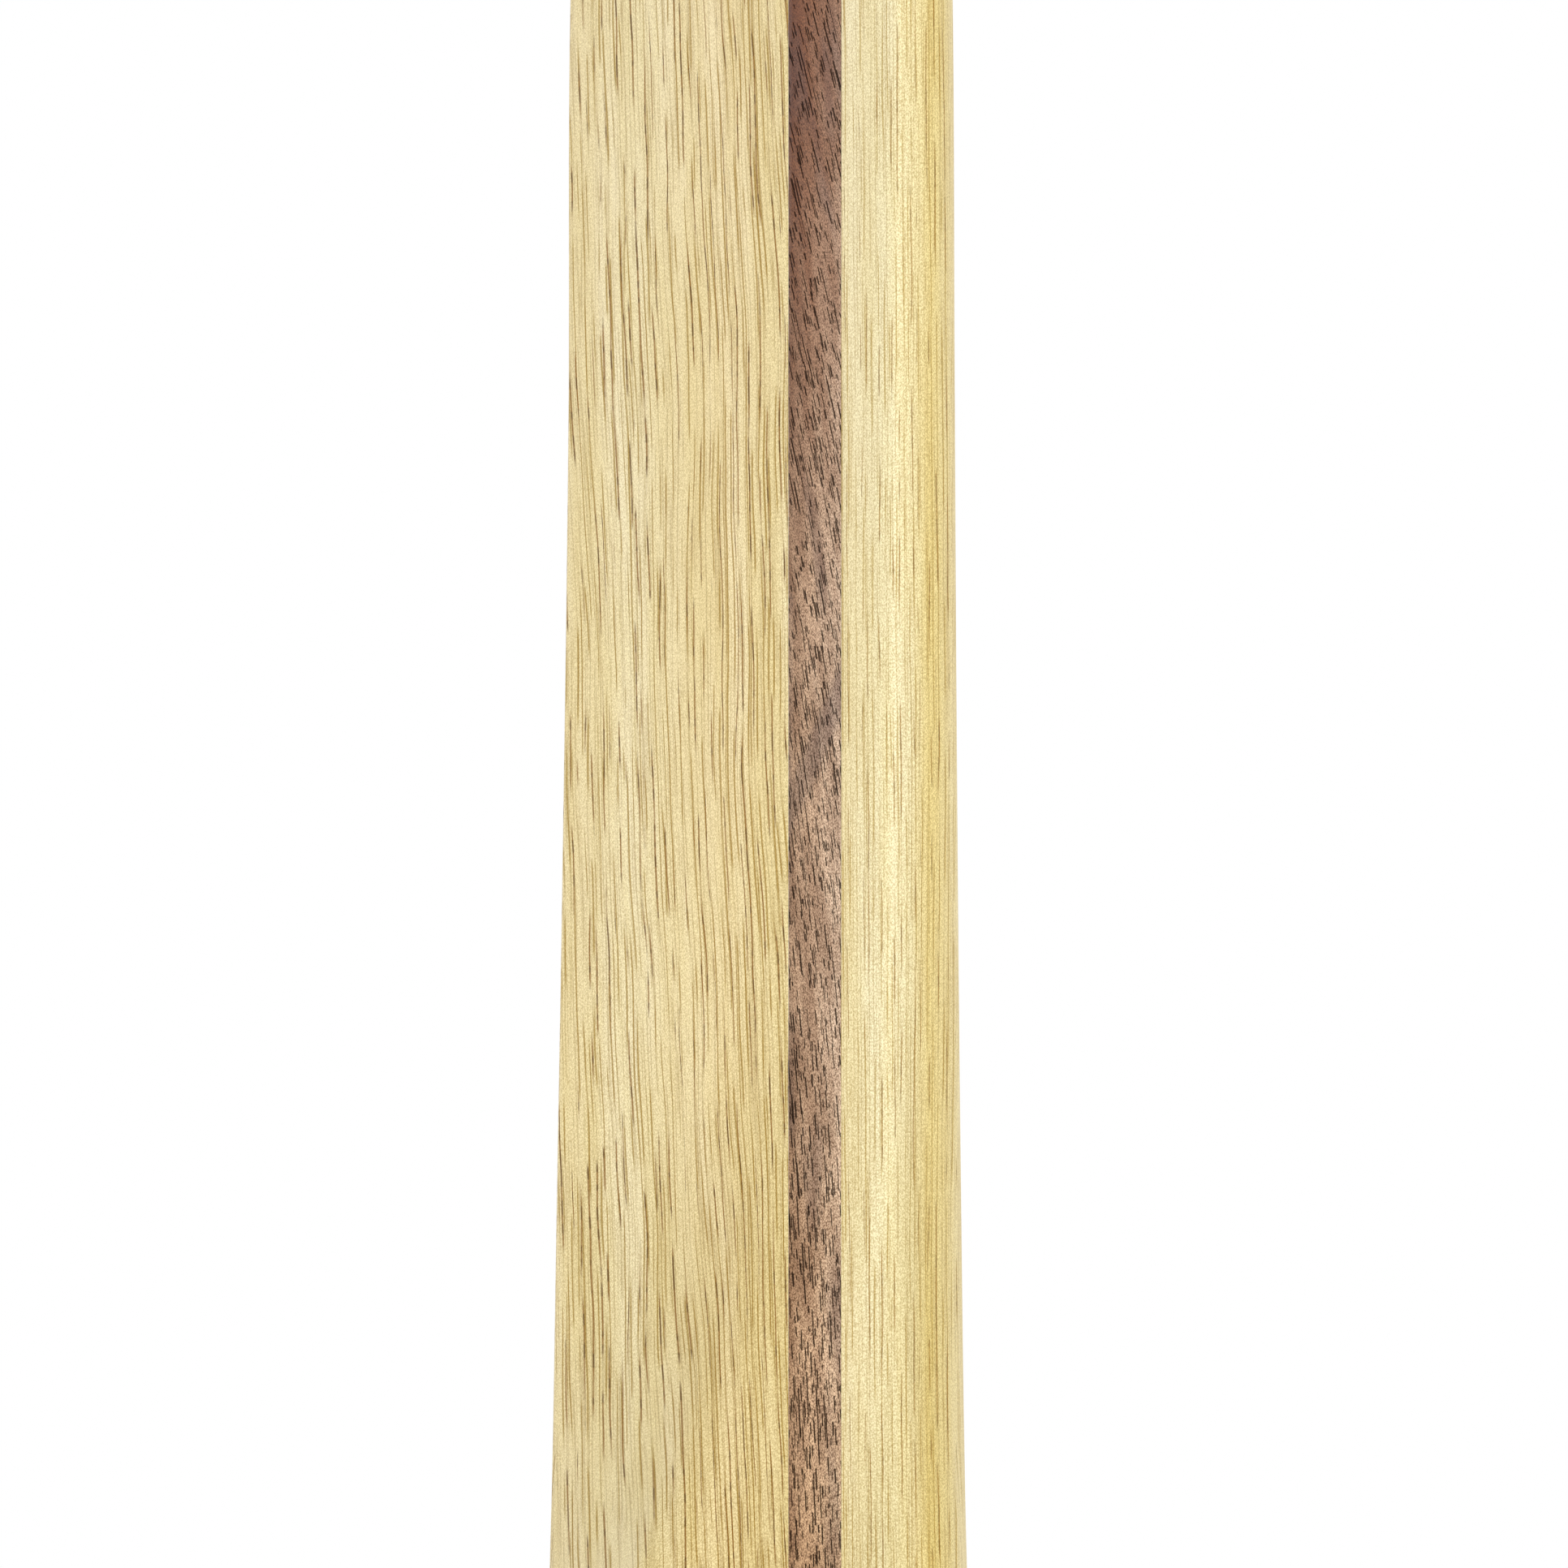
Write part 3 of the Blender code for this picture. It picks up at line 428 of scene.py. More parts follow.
def sealWood(add, shader, look, colour, opened, height):
    # A satin film, which is thin and dull over the open vessels; these stay a little hollow
    smooth, dull = look["gloss"]
    full, thin = look["film"]
    strength, depth = look["bump"]
    connect(shader, {
        "Base Color": colour,
        "Roughness": add("MapRange", {"Value": opened, 3: smooth, 4: dull}),
        "Specular IOR Level": add("MapRange", {"Value": opened, 3: full, 4: thin}),
        "Normal": add("Bump", {"Strength": strength, "Distance": depth, "Height": height}, invert=True),
    })
    shader.inputs["IOR"].default_value = varnishIor


def limbaFinish(name, look):
    # Limba, planed, sanded and sealed with a satin film: cream wood with long thin brown vessel lines,
    # darker where a vessel is cut open, a little ray fleck beside the glue line and a soft sheen
    material, add, shader = newMaterial(name)
    flat, x, y, along = millimetres(add)
    # The boards' side faces and edges read the grain across x, their broad faces across y
    turned = add("CombineXYZ", {0: y, 1: x, 2: along})
    facing = add("Attribute", pick="Fac", attribute_name="broadFace")
    strips = add("VectorMath", {0: flat, 1: [1 / s for s in look["fray"]]}, operation="MULTIPLY")
    noise = add("TexNoise", {"Vector": strips, "Scale": 1.0, "Detail": 1.0})
    edge = add("Math", {0: noise, 1: look["frayReach"], 2: facing}, operation="MULTIPLY_ADD")
    limit = look["broadFrom"] + look["frayReach"] / 2
    side = add("Math", {0: edge, 1: limit}, operation="GREATER_THAN")
    face = add("Mix", {0: side, 4: flat, 5: turned}, 1, data_type="VECTOR")
    grain = face
    for size, reach in look["wander"]:
        spread = add("VectorMath", {0: face, 1: [1 / s for s in size]}, operation="MULTIPLY")
        noise = add("TexNoise", {"Vector": spread, "Scale": 1.0, "Detail": 1.0}, "Color")
        sideways = {0: noise, 1: (2 * reach, 2 * reach, 0), 2: (-reach, -reach, 0)}
        push = add("VectorMath", sideways, operation="MULTIPLY_ADD")
        grain = add("VectorMath", {0: grain, 1: push}, operation="ADD")
    lean = add("VectorMath", {0: grain, 1: look["rings"]}, "Value", operation="DOT_PRODUCT")
    through = add("SeparateXYZ", {0: grain}, 1)
    fibre = add("CombineXYZ", {0: lean, 1: through, 2: along})
    masks = grainMasks(add, fibre, look["layers"])
    crowdPlace, crowdReach, crowdMore = look["crowd"]
    off = add("Math", {0: x, 1: crowdPlace}, operation="SUBTRACT")
    off = add("Math", {0: off}, operation="ABSOLUTE")
    crowd = add("MapRange", {"Value": off, 1: 0.0, 2: crowdReach, 3: crowdMore, 4: 0.0}, **soft)
    for key, vessel in look["vessels"].items():
        masks[key], lane = vesselLines(add, lean, along, vessel, crowd)
    # The veins, which come last, are open here and there along their lanes
    length, low, high = look["opened"]
    step = add("Math", {0: along, 1: 1 / length}, operation="MULTIPLY")
    track = add("CombineXYZ", {0: lane, 1: step})
    noise = add("TexNoise", {"Vector": track, "Scale": 1.0, "Detail": 0.0}, noise_dimensions="2D")
    shown = add("MapRange", {"Value": noise, 1: low, 2: high}, **soft)
    masks["core"] = add("Math", {0: masks["vein"], 1: shown}, operation="MULTIPLY")
    reaches = [look[key] for key in ("rayReach", "toneAndShadeReach", "rootReach")]
    nearGlue, across, beside = (add("MapRange", {"Value": x, 1: low, 2: high}) for low, high in reaches)
    masks["rays"] = add("Math", {0: masks["rays"], 1: nearGlue}, operation="MULTIPLY")
    # Painted shade at the root: darker beside the glue line than apart from it
    shades = {0: beside, 6: linear(rootToneAndShade["apart"]), 7: linear(rootToneAndShade["shadeBesideGlue"])}
    rootShade = add("Mix", shades, 2, data_type="RGBA")
    colour = colourWood(add, look, masks, across, along, rootShade)
    vessels = add("Math", {0: masks["line"], 1: masks["vein"]}, operation="MAXIMUM")
    hollow = add("Math", {0: vessels, 1: masks["grit"]}, operation="SUBTRACT")
    sealWood(add, shader, look, colour, vessels, hollow)
    return material


walnut = {
    "body": "CBAC91", "light": "F6D9BC", "red": "8A4502", "ink": "61525A", "pore": "1C0E06",
    "gritDark": "887A70",
    # the lean of the grain, then how far, how slowly and from where it swings along the blade
    "lean": (0.14, 0.10, 60.0, 206.0),
    # open pores: distance apart, half width, sideways play, length, and the band of noise that shows
    "pores": ((0.37, 0.088, 0.10, 2.8, 0.53, 0.58), (0.29, 0.070, 0.08, 2.4, 0.59, 0.64)),
    "layers": {
        "clouds": ((1.8, 4, 14), 2.0, 0.32, 0.68),
        "figure": ((4.0, 9, 30), 1.5, 0.52, 0.70),
        "grit": ((0.11, 0.20, 0.24), 1.0, 0.30, 0.70),
    },
    # the red share on the layer's rear and front, and the heights where it starts and is full
    "redShare": (0.94, 0.54), "redReach": (205.0, 300.0),
    # inky streaks: slope, place, step, the band of the wave that shows and its strength, then the figure's
    "streaks": (-2.35, 203.0, 190.0, 0.988, 1.0, 0.42), "figureShare": 0.35,
    "coats": {"clouds": "light", "red": "red", "ink": "ink", "pores": "pore"},
    "shares": (1.0, 1.0, 1.0, 0.92),
    # across the layer: painted shade, darker on the rear side, away from the satin sheen
    "toneAndShade": ((0.0, "CFC1B3"), (0.4, "EFE6DD"), (1.0, "FFFFFF")),
    "gloss": (0.44, 0.66), "film": (0.14, 0.03), "bump": (0.35, 0.00006),
}


def walnutFinish(name, look):
    # Black walnut, sanded and sealed: warm grey brown, redder up the blade, with open pores as short dark
    # dashes that lean with the grain, a dark inky streak here and there, and a thinner satin film
    material, add, shader = newMaterial(name)
    flat, x, y, along = millimetres(add)
    tilt, lift, swing, swingPlace = look["lean"]
    angle = add("Math", {0: along, 1: 1 / swing, 2: -swingPlace / swing}, operation="MULTIPLY_ADD")
    wave = add("Math", {0: angle}, operation="COSINE")
    lean = add("VectorMath", {0: flat, 1: (1, 0, tilt)}, "Value", operation="DOT_PRODUCT")
    across = add("Math", {0: wave, 1: -lift * swing, 2: lean}, operation="MULTIPLY_ADD")
    fibre = add("CombineXYZ", {0: across, 1: y, 2: along})
    masks = grainMasks(add, fibre, look["layers"])
    masks["pores"] = 0.0
    for vessel in look["pores"]:
        dashes = vesselLines(add, across, along, vessel, 0.0)[0]
        masks["pores"] = add("Math", {0: dashes, 1: masks["pores"]}, operation="MAXIMUM")
    # Inky streaks cross the layer on a slant, a hand's length apart
    slope, place, step, low, high, strength = look["streaks"]
    height = add("VectorMath", {0: flat, 1: (slope, 0, 1)}, "Value", operation="DOT_PRODUCT")
    start = place + slope * glueRear
    turn = 2 * math.pi / step
    ripple = add("Math", {0: height, 1: turn, 2: -start * turn}, operation="MULTIPLY_ADD")
    crest = add("Math", {0: ripple}, operation="COSINE")
    streak = add("MapRange", {"Value": crest, 1: low, 2: high, 3: 0.0, 4: strength}, **soft)
    faint = add("Math", {0: masks["figure"], 1: look["figureShare"]}, operation="MULTIPLY")
    masks["ink"] = add("Math", {0: streak, 1: faint}, operation="MAXIMUM")
    layer = add("MapRange", {"Value": x, 1: glueRear, 2: glueFront})
    rearRed, frontRed = look["redShare"]
    most = add("MapRange", {"Value": layer, 3: rearRed, 4: frontRed})
    low, high = look["redReach"]
    masks["red"] = add("MapRange", {"Value": along, 1: low, 2: high, 3: 0.0, 4: most}, **soft)
    colour = colourWood(add, look, masks, layer, along, linear(rootToneAndShade["walnut"]))
    sealWood(add, shader, look, colour, masks["pores"], masks["pores"])
    return material


# Metal and rubber finishes by slot: name, dark and bright tone, smooth and rough gloss, size of the tool
# rings and of the surface grain in mm, bump and metallic

metals = {
    # faced on a lathe: bright, with fine rings that spread the light
    "machined_aluminium": ("turnedAluminium", "C9CBCE", "E6E7E9", 0.22, 0.40, 0.9, 1.2, 0.20, 1.0),
    # sand cast and blasted: dull grey with a coarse grain
    "cast_aluminium": ("castAluminium", "94979A", "B9BBBD", 0.48, 0.68, 0.9, 1.0, 0.45, 1.0),
    # cylindrically ground: clear grey, fine marks round the shaft
    "ground_steel": ("groundSteel", "B2B4B7", "D4D5D7", 0.18, 0.34, 0.6, 1.5, 0.12, 1.0),
    # zinc plated and passivated: pale, slightly cool and cloudy
    "zinc_steel": ("zincPlatedSteel", "B9BFC4", "DADEE0", 0.26, 0.44, 2.5, 1.6, 0.10, 1.0),
    # black oxide and oil: near black with a soft sheen
    "black_steel": ("blackOxideSteel", "1D1D1F", "303033", 0.36, 0.54, 2.0, 0.8, 0.12, 1.0),
    # turned bronze: warm, fine rings
    "bronze": ("turnedBronze", "A87B48", "CC9C63", 0.24, 0.42, 0.8, 1.2, 0.15, 1.0),
    # moulded nitrile rubber: matt black with a dusty bloom
    "rubber": ("mouldedRubber", "161617", "29292A", 0.60, 0.78, 1.5, 0.7, 0.20, 0.0),
}
# the band of the marks that shows, their detail, and how deep they are in metres
metalMarks = {"band": (0.7, 1.3), "detail": 3.0, "depth": 0.0001}


def metalFinish(name, deep, bright, lowRough, highRough, ringSize, grainSize, bumpiness, metallic):
    material, add, shader = newMaterial(name)
    flat, x, y, z = millimetres(add)
    disc = add("CombineXYZ", {1: y, 2: z})
    radius = add("VectorMath", {0: disc}, "Value", operation="LENGTH")
    rings = add("CombineXYZ", {0: radius, 1: x})
    detail = metalMarks["detail"]
    tool = add("TexNoise", {"Vector": rings, "Scale": 1 / ringSize, "Detail": detail})
    grain = add("TexNoise", {"Vector": flat, "Scale": 1 / grainSize, "Detail": detail})
    added = add("Math", {0: tool, 1: grain}, operation="ADD")
    low, high = metalMarks["band"]
    mark = add("MapRange", {"Value": added, 1: low, 2: high})
    marked = {"Strength": bumpiness, "Distance": metalMarks["depth"], "Height": mark}
    connect(shader, {
        "Base Color": add("Mix", {0: mark, 6: linear(deep), 7: linear(bright)}, 2, data_type="RGBA"),
        "Roughness": add("MapRange", {"Value": mark, 3: highRough, 4: lowRough}),
        "Normal": add("Bump", marked),
    })
    shader.inputs["Metallic"].default_value = metallic
    return material


finishes = {slot: metalFinish(*look) for slot, look in metals.items()}
finishes["limba"] = limbaFinish("satinLimbaRear", rearLimba)
finishes["walnut"] = walnutFinish("satinWalnut", walnut)
frontWood = limbaFinish("satinLimbaFront", frontLimba)
print("finishes mixed")


# Blades and hub: one blank, carved and then parted into its three boards

blade = {
    "pitch": 0.770, "hubRadius": 0.062, "hubEdge": 0.008, "hubFillet": 0.045, "rootWidth": 0.064,
    "rootBlend": 0.110, "trailingEdge": 0.0022, "tipRound": 0.060, "tipEnd": 0.20, "leadingShare": 0.38,
    "upperShare": 0.86, "cornerPoints": 7, "facePoints": 22, "sidePoints": 12,
    "glueLine": 0.00002, "smoothAngle": 40,
    # sections from the shaft to the hub rim, along the root, along the blade and round the tip
    "stations": (24, 44, 110, 18),
    # share of the way from hub rim to tip, then share of the board or of the chord
    "rearLine": ((0.0, 1.0), (0.082, 0.946), (0.164, 0.922), (0.246, 0.902), (0.328, 0.888), (0.410, 0.888),
                 (0.470, 0.855), (0.540, 0.765), (0.620, 0.63), (0.70, 0.485), (0.78, 0.345), (0.86, 0.215),
                 (0.93, 0.11), (1.0, 0.03)),
    "frontLine": ((0.0, 1.0), (0.082, 0.913), (0.164, 0.869), (0.246, 0.837), (0.328, 0.814), (0.410, 0.794),
                  (0.575, 0.69), (0.745, 0.525), (0.915, 0.35), (1.0, 0.26)),
    "thicknessLine": ((0.0, 0.60), (0.082, 0.46), (0.246, 0.25), (0.410, 0.15), (0.575, 0.12), (1.0, 0.09)),
    # the section: length of the nose over the chord, how points crowd to it, and the thickness curve
    "nose": 0.02, "crowding": 1.35, "foilScale": 10, "foilCurve": (0.2969, -0.1260, -0.3516, 0.2843, -0.1015),
}
halfCadGlue = fit / 2
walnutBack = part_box("walnut_layer")[0].x - halfCadGlue
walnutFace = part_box("walnut_layer")[1].x + halfCadGlue
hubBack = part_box("rear_board")[0].x
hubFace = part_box("front_board")[1].x
tipRadius = max(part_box("walnut_layer")[1].z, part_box("front_board")[1].z)
rearBoard = walnutBack - hubBack
frontBoard = hubFace - walnutFace
halfWalnut = (walnutFace - walnutBack) / 2


def alongLine(line, share):
    # A smooth curve through the line's own stations
    share = min(max(share, line[0][0]), line[-1][0])
    index = max(i for i in range(len(line) - 1) if line[i][0] <= share)
    (x0, y0), (x1, y1) = line[index], line[index + 1]
    step = (y1 - y0) / (x1 - x0)
    before, after = line[max(index - 1, 0)], line[min(index + 2, len(line) - 1)]
    slope0 = (y1 - before[1]) / (x1 - before[0]) if index > 0 else step
    slope1 = (after[1] - y0) / (after[0] - x0) if index + 2 < len(line) else step
    t = (share - x0) / (x1 - x0)
    bend0 = (slope0 - step) * (x1 - x0)
    bend1 = (slope1 - step) * (x1 - x0)
    return y0 + t * (y1 - y0) + t * (1 - t) * (bend0 * (1 - t) - bend1 * t)


def smoothStep(t):
    t = min(max(t, 0.0), 1.0)
    return t * t * (3 - 2 * t)


def rootHalfWidth(span):
    # The hub disc runs through a fillet into the straight root
    hub, fillet, half = blade["hubRadius"], blade["hubFillet"], blade["rootWidth"] / 2
    filletPlace = math.sqrt((hub + fillet) ** 2 - (half + fillet) ** 2)
    if span < filletPlace * hub / (hub + fillet):
        return math.sqrt(hub ** 2 - span ** 2)
    if span < filletPlace:
        return half + fillet - math.sqrt(fillet ** 2 - (filletPlace - span) ** 2)
    return half


def roundedBox(rear, front, halfWidth):
    # Points run from the leading corner over the front face, and back behind it
    radius = blade["hubEdge"]
    corners = ((front - radius, radius - halfWidth, -1), (front - radius, halfWidth - radius, 0),
               (rear + radius, halfWidth - radius, 1), (rear + radius, radius - halfWidth, 2))
    points = []
    for number, (along, across, quarter) in enumerate(corners):
        for step in range(blade["cornerPoints"]):
            angle = quarterTurn * (quarter + step / (blade["cornerPoints"] - 1))
            points.append((along + radius * math.cos(angle), across + radius * math.sin(angle)))
        following = corners[(number + 1) % 4]
        endAngle = quarterTurn * (quarter + 1)
        shift = (radius * math.cos(endAngle), radius * math.sin(endAngle))
        between = blade["facePoints"] if number % 2 == 0 else blade["sidePoints"]
        for step in range(1, between + 1):
            t = step / (between + 1)
            points.append((along + (following[0] - along) * t + shift[0],
                           across + (following[1] - across) * t + shift[1]))
    return points


def foil(ratio, edge):
    # Unit chord, leading edge at 0. edge is the trailing edge's thickness over the chord.
    nose, corner, upper = blade["nose"], blade["cornerPoints"], blade["upperShare"]
    side = blade["facePoints"] + corner + blade["sidePoints"]
    root, first, second, third, fourth = blade["foilCurve"]

    def thickness(u):
        curve = root * math.sqrt(u) + first * u + second * u ** 2 + third * u ** 3 + fourth * u ** 4
        return blade["foilScale"] * ratio * curve + edge * u

    def over(u):
        return u, upper * thickness(u)

    def under(u):
        return u, (upper - 1) * thickness(u)

    points = []
    for step in range(corner):
        q = 2 * step / (corner - 1) - 1
        points.append(over(nose * q * q) if q > 0 else under(nose * q * q))
    places = [nose + (1 - nose) * (step / (side + 1)) ** blade["crowding"] for step in range(1, side + 1)]
    points += [over(u) for u in places]
    top, bottom = over(1.0)[1], under(1.0)[1]
    half = (top - bottom) / 2
    for step in range(corner):
        angle = quarterTurn - math.pi * step / (corner - 1)
        points.append((1.0 + half * math.cos(angle), (top + bottom) / 2 + half * math.sin(angle)))
    points += [under(u) for u in reversed(places)]
    return points


def fitAlong(points, rear, front):
    low = min(along for along, _ in points)
    high = max(along for along, _ in points)
    scale = (front - rear) / (high - low)
    return [(rear + (along - low) * scale, across) for along, across in points], scale


def bladeSection(span):
    # Section of the upper blade at a height above the shaft, measured from the middle of the walnut
    share = (span - blade["hubRadius"]) / (tipRadius - blade["hubRadius"])
    rear = -halfWalnut - rearBoard * alongLine(blade["rearLine"], share)
    front = halfWalnut + frontBoard * alongLine(blade["frontLine"], share)
    box = roundedBox(rear, front, rootHalfWidth(span))
    blend = smoothStep((span - blade["hubRadius"]) / blade["rootBlend"])
    if blend == 0.0:
        return box
    angle = math.atan2(blade["pitch"] / (2 * math.pi), span)
    ratio = alongLine(blade["thicknessLine"], share)
    roughChord = (front - rear) / math.sin(angle)
    shape = [(h * math.cos(angle) - u * math.sin(angle),
              (u - blade["leadingShare"]) * math.cos(angle) + h * math.sin(angle))
             for u, h in foil(ratio, blade["trailingEdge"] / roughChord)]
    shape, chord = fitAlong(shape, rear, front)
    shape = [(along, across * chord) for along, across in shape]
    mixed = [(a[0] + (b[0] - a[0]) * blend, a[1] + (b[1] - a[1]) * blend) for a, b in zip(box, shape)]
    mixed, _ = fitAlong(mixed, rear, front)
    rounding = max(0.0, (span - tipRadius + blade["tipRound"]) / blade["tipRound"])
    size = math.sqrt(1 - rounding ** 2 * (1 - blade["tipEnd"] ** 2))
    middleAlong = (rear + front) / 2
    middleAcross = sum(across for _, across in mixed) / len(mixed)
    return [(middleAlong + (along - middleAlong) * size, middleAcross + (across - middleAcross) * size)
            for along, across in mixed]


def oppositeSection(section):
    # The same section half a turn round, with its points in step with the upper blade's
    start = 2 * blade["sidePoints"] + 2 * blade["cornerPoints"] + blade["facePoints"]
    back = [(along, -across) for along, across in reversed(section)]
    return back[start:] + back[:start]


def bladeSpans():
    hub, rootBlend, tipRound = blade["hubRadius"], blade["rootBlend"], blade["tipRound"]
    rootEnd, tipStart = hub + rootBlend, tipRadius - tipRound
    length = tipStart - rootEnd
    hubCount, rootCount, bladeCount, tipCount = blade["stations"]
    spans = [hub * step / hubCount for step in range(hubCount + 1)]
    spans += [hub + rootBlend * (step + 1) / rootCount for step in range(rootCount)]
    spans += [rootEnd + length * (step + 1) / bladeCount for step in range(bladeCount)]
    spans += [tipStart + tipRound * math.sin(quarterTurn * (step + 1) / tipCount) for step in range(tipCount)]
    return spans


def carveBlank():
    # A flat grid is wrapped round the blade sections, then its seam is welded and its tips are filled
    upper = [(span, bladeSection(span)) for span in bladeSpans()]
    lower = [(-span, oppositeSection(section)) for span, section in reversed(upper[1:])]
    stations = lower + upper
    around = len(upper[0][1])
    bpy.ops.mesh.primitive_grid_add(x_subdivisions=around, y_subdivisions=len(stations) - 1, size=1.0)
    blank = bpy.context.object
    places = []
    for span, section in stations:
        for along, across in section + section[:1]:
            places += (walnutMiddle + along, across, span)
    blank.data.vertices.foreach_set("co", places)
    blank.data.update()
    freezePlace(blank)
    editAll(blank)
    bpy.ops.mesh.remove_doubles(threshold=weld)
    bpy.ops.mesh.fill_holes(sides=0)
    bpy.ops.mesh.select_all(action="SELECT")
    bpy.ops.mesh.normals_make_consistent(inside=False)
    objectMode()
    return blank


hub = {"boltCount": 6, "holeRadius": 0.0043, "boreRadius": 0.0156, "socketRadius": 0.0068,
       "socketDepth": 0.0103, "past": 0.01,
       # where the grain goes over to the broad face: at the hub, on the outer blades and on the crest
       "hubFade": 0.040, "innerEnd": 0.310, "outerFade": 0.120, "crestStart": 0.955, "crestFade": 0.035}
hubSpots = spotsOf("hub_bolt", hub["boltCount"])


def partBoard(blank, name, low, high, slot, material=None):
    board = duplicate(blank)
    for place, outward in ((low, False), (high, True)):
        if place is None:
            continue
        editAll(board)
        bpy.ops.mesh.bisect(plane_co=(place, 0, 0), plane_no=(1, 0, 0), use_fill=True, threshold=weld,
                            clear_inner=not outward, clear_outer=outward)
        objectMode()
    rear, front = hubBack - hub["past"], hubFace + hub["past"]
    drill(board, hub["holeRadius"], rear, front, hubSpots)
    drill(board, hub["boreRadius"], rear, front, onAxis, plainRound)
    if name == "rear_board":
        drill(board, hub["socketRadius"], rear, hubBack + hub["socketDepth"], hubSpots)
    finishPiece(board, name + "_carved", "propeller", slot, name, blade["smoothAngle"], material)
    # The hub's faces, the outer blades and the crest lie flat enough to show the board's broad face
    broad = []
    for loop, normal in zip(board.data.loops, board.data.corner_normals):
        span = abs(board.data.vertices[loop.vertex_index].co.z)
        outer = smoothStep((span - hub["innerEnd"]) / hub["outerFade"])
        inner = 1 - smoothStep((span - blade["hubRadius"]) / hub["hubFade"])
        turned = abs(normal.vector.x)
        crest = smoothStep((turned - hub["crestStart"]) / hub["crestFade"])
        broad.append(turned * max(outer, inner, crest))
    board.data.attributes.new("broadFace", "FLOAT", "CORNER").data.foreach_set("value", broad)


blankPiece = carveBlank()
halfGlue = blade["glueLine"] / 2
partBoard(blankPiece, "rear_board", None, walnutBack - halfGlue, "limba")
partBoard(blankPiece, "walnut_layer", walnutBack + halfGlue, walnutFace - halfGlue, "walnut")
partBoard(blankPiece, "front_board", walnutFace + halfGlue, None, "limba", frontWood)
bpy.data.objects.remove(blankPiece, do_unlink=True)
print("boards carved")


# Hub hardware

frontPlate = {"bore": 0.0128, "boreEdge": 0.0005, "edge": 0.0016, "hole": 0.0043}


def makeFrontPlate(bore, boreEdge, edge, hole):
    low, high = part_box("front_plate")
    rim = high.y - edge
    profile = [(bore, low.x + boreEdge), (bore, high.x - boreEdge), (bore + boreEdge, high.x)]
    profile += roundEdge(rim, high.x - edge, edge, 90, 0)
    profile += roundEdge(rim, low.x + edge, edge, 0, -90)
    profile += [(bore + boreEdge, low.x)]
    plate = turnPiece(profile, wideRound)
    drill(plate, hole, low.x - past, high.x + past, hubSpots)
    finishPiece(plate, "front_plate_turned", "propeller", "machined_aluminium", "front_plate")


hubBolt = {"flats": 0.013, "shank": 0.004, "tip": 0.0008, "pitch": 0.00125, "depth": 0.0006,
           "thread": 0.0125, "faceRadius": 0.0058, "faceHeight": 0.0004, "headHeight": 0.0053}


def makeHubBolts(flats, shank, tip, pitch, depth, thread, faceRadius, faceHeight, headHeight):
    low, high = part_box("hub_bolt_1")
    headRear = high.x - headHeight
    place = low.x + tip
    profile = [(shank - tip, low.x), (shank, place)]
    # The thread is cut as rings, from the tip to behind the flange
    while place + pitch < low.x + thread:
        profile += [(shank - depth, place + pitch / 2), (shank, place + pitch)]
        place += pitch
    profile += [(shank, headRear), (faceRadius, headRear), (faceRadius, headRear + 2 * faceHeight)]
    bolt = turnPiece(profile, boltRound, ring=False)
    boolean(bolt, hexBlock(flats, headRear + faceHeight, high.x, rearChamfer=False), "UNION")
    finishCopies(bolt, "hub_bolt", hub["boltCount"], "propeller", "zinc_steel")


plateWasher = {"bore": 0.0043, "radius": 0.008, "edge": 0.0003, "edgeSteps": 3}


def makePlateWashers(bore, radius, edge, edgeSteps):
    low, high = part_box("plate_washer_1")
    profile = [(bore, low.x), (bore, high.x - edge), (bore + edge, high.x)]
    profile += roundEdge(radius - edge, high.x - edge, edge, 90, 0, edgeSteps) + [(radius, low.x)]
    washer = turnPiece(profile, smallRound)
    finishCopies(washer, "plate_washer", hub["boltCount"], "propeller", "zinc_steel")


lockNut = {"flats": 0.013, "collarHeight": 0.0026, "collarRadius": 0.0060, "collarEdge": 0.0012,
           "edgeSteps": 6, "bore": 0.0043}


def makeLockNuts(flats, collarHeight, collarRadius, collarEdge, edgeSteps, bore):
    # A hexagon with a round collar behind it, which holds the locking insert
    low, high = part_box("lock_nut_1")
    collarFront = low.x + collarHeight
    collar = roundEdge(collarRadius - collarEdge, low.x + collarEdge, collarEdge, -90, 0, edgeSteps)
    nut = turnPiece(collar + [(collarRadius, collarFront + past / 2)], smallRound, ring=False)
    boolean(nut, hexBlock(flats, collarFront, high.x), "UNION")
    drill(nut, bore, low.x - past, high.x + past, onAxis, boltRound)
    finishCopies(nut, "lock_nut", hub["boltCount"], "propeller", "zinc_steel")


propShaft = {"pilot": 0.0125, "flange": 0.050, "thickness": 0.012, "journal": 0.016, "seat": 0.0125,
             "edge": 0.0008, "fillet": 0.0016, "filletSteps": 5, "hole": 0.0068, "shoulder": 0.0622,
             "centre": 0.003}


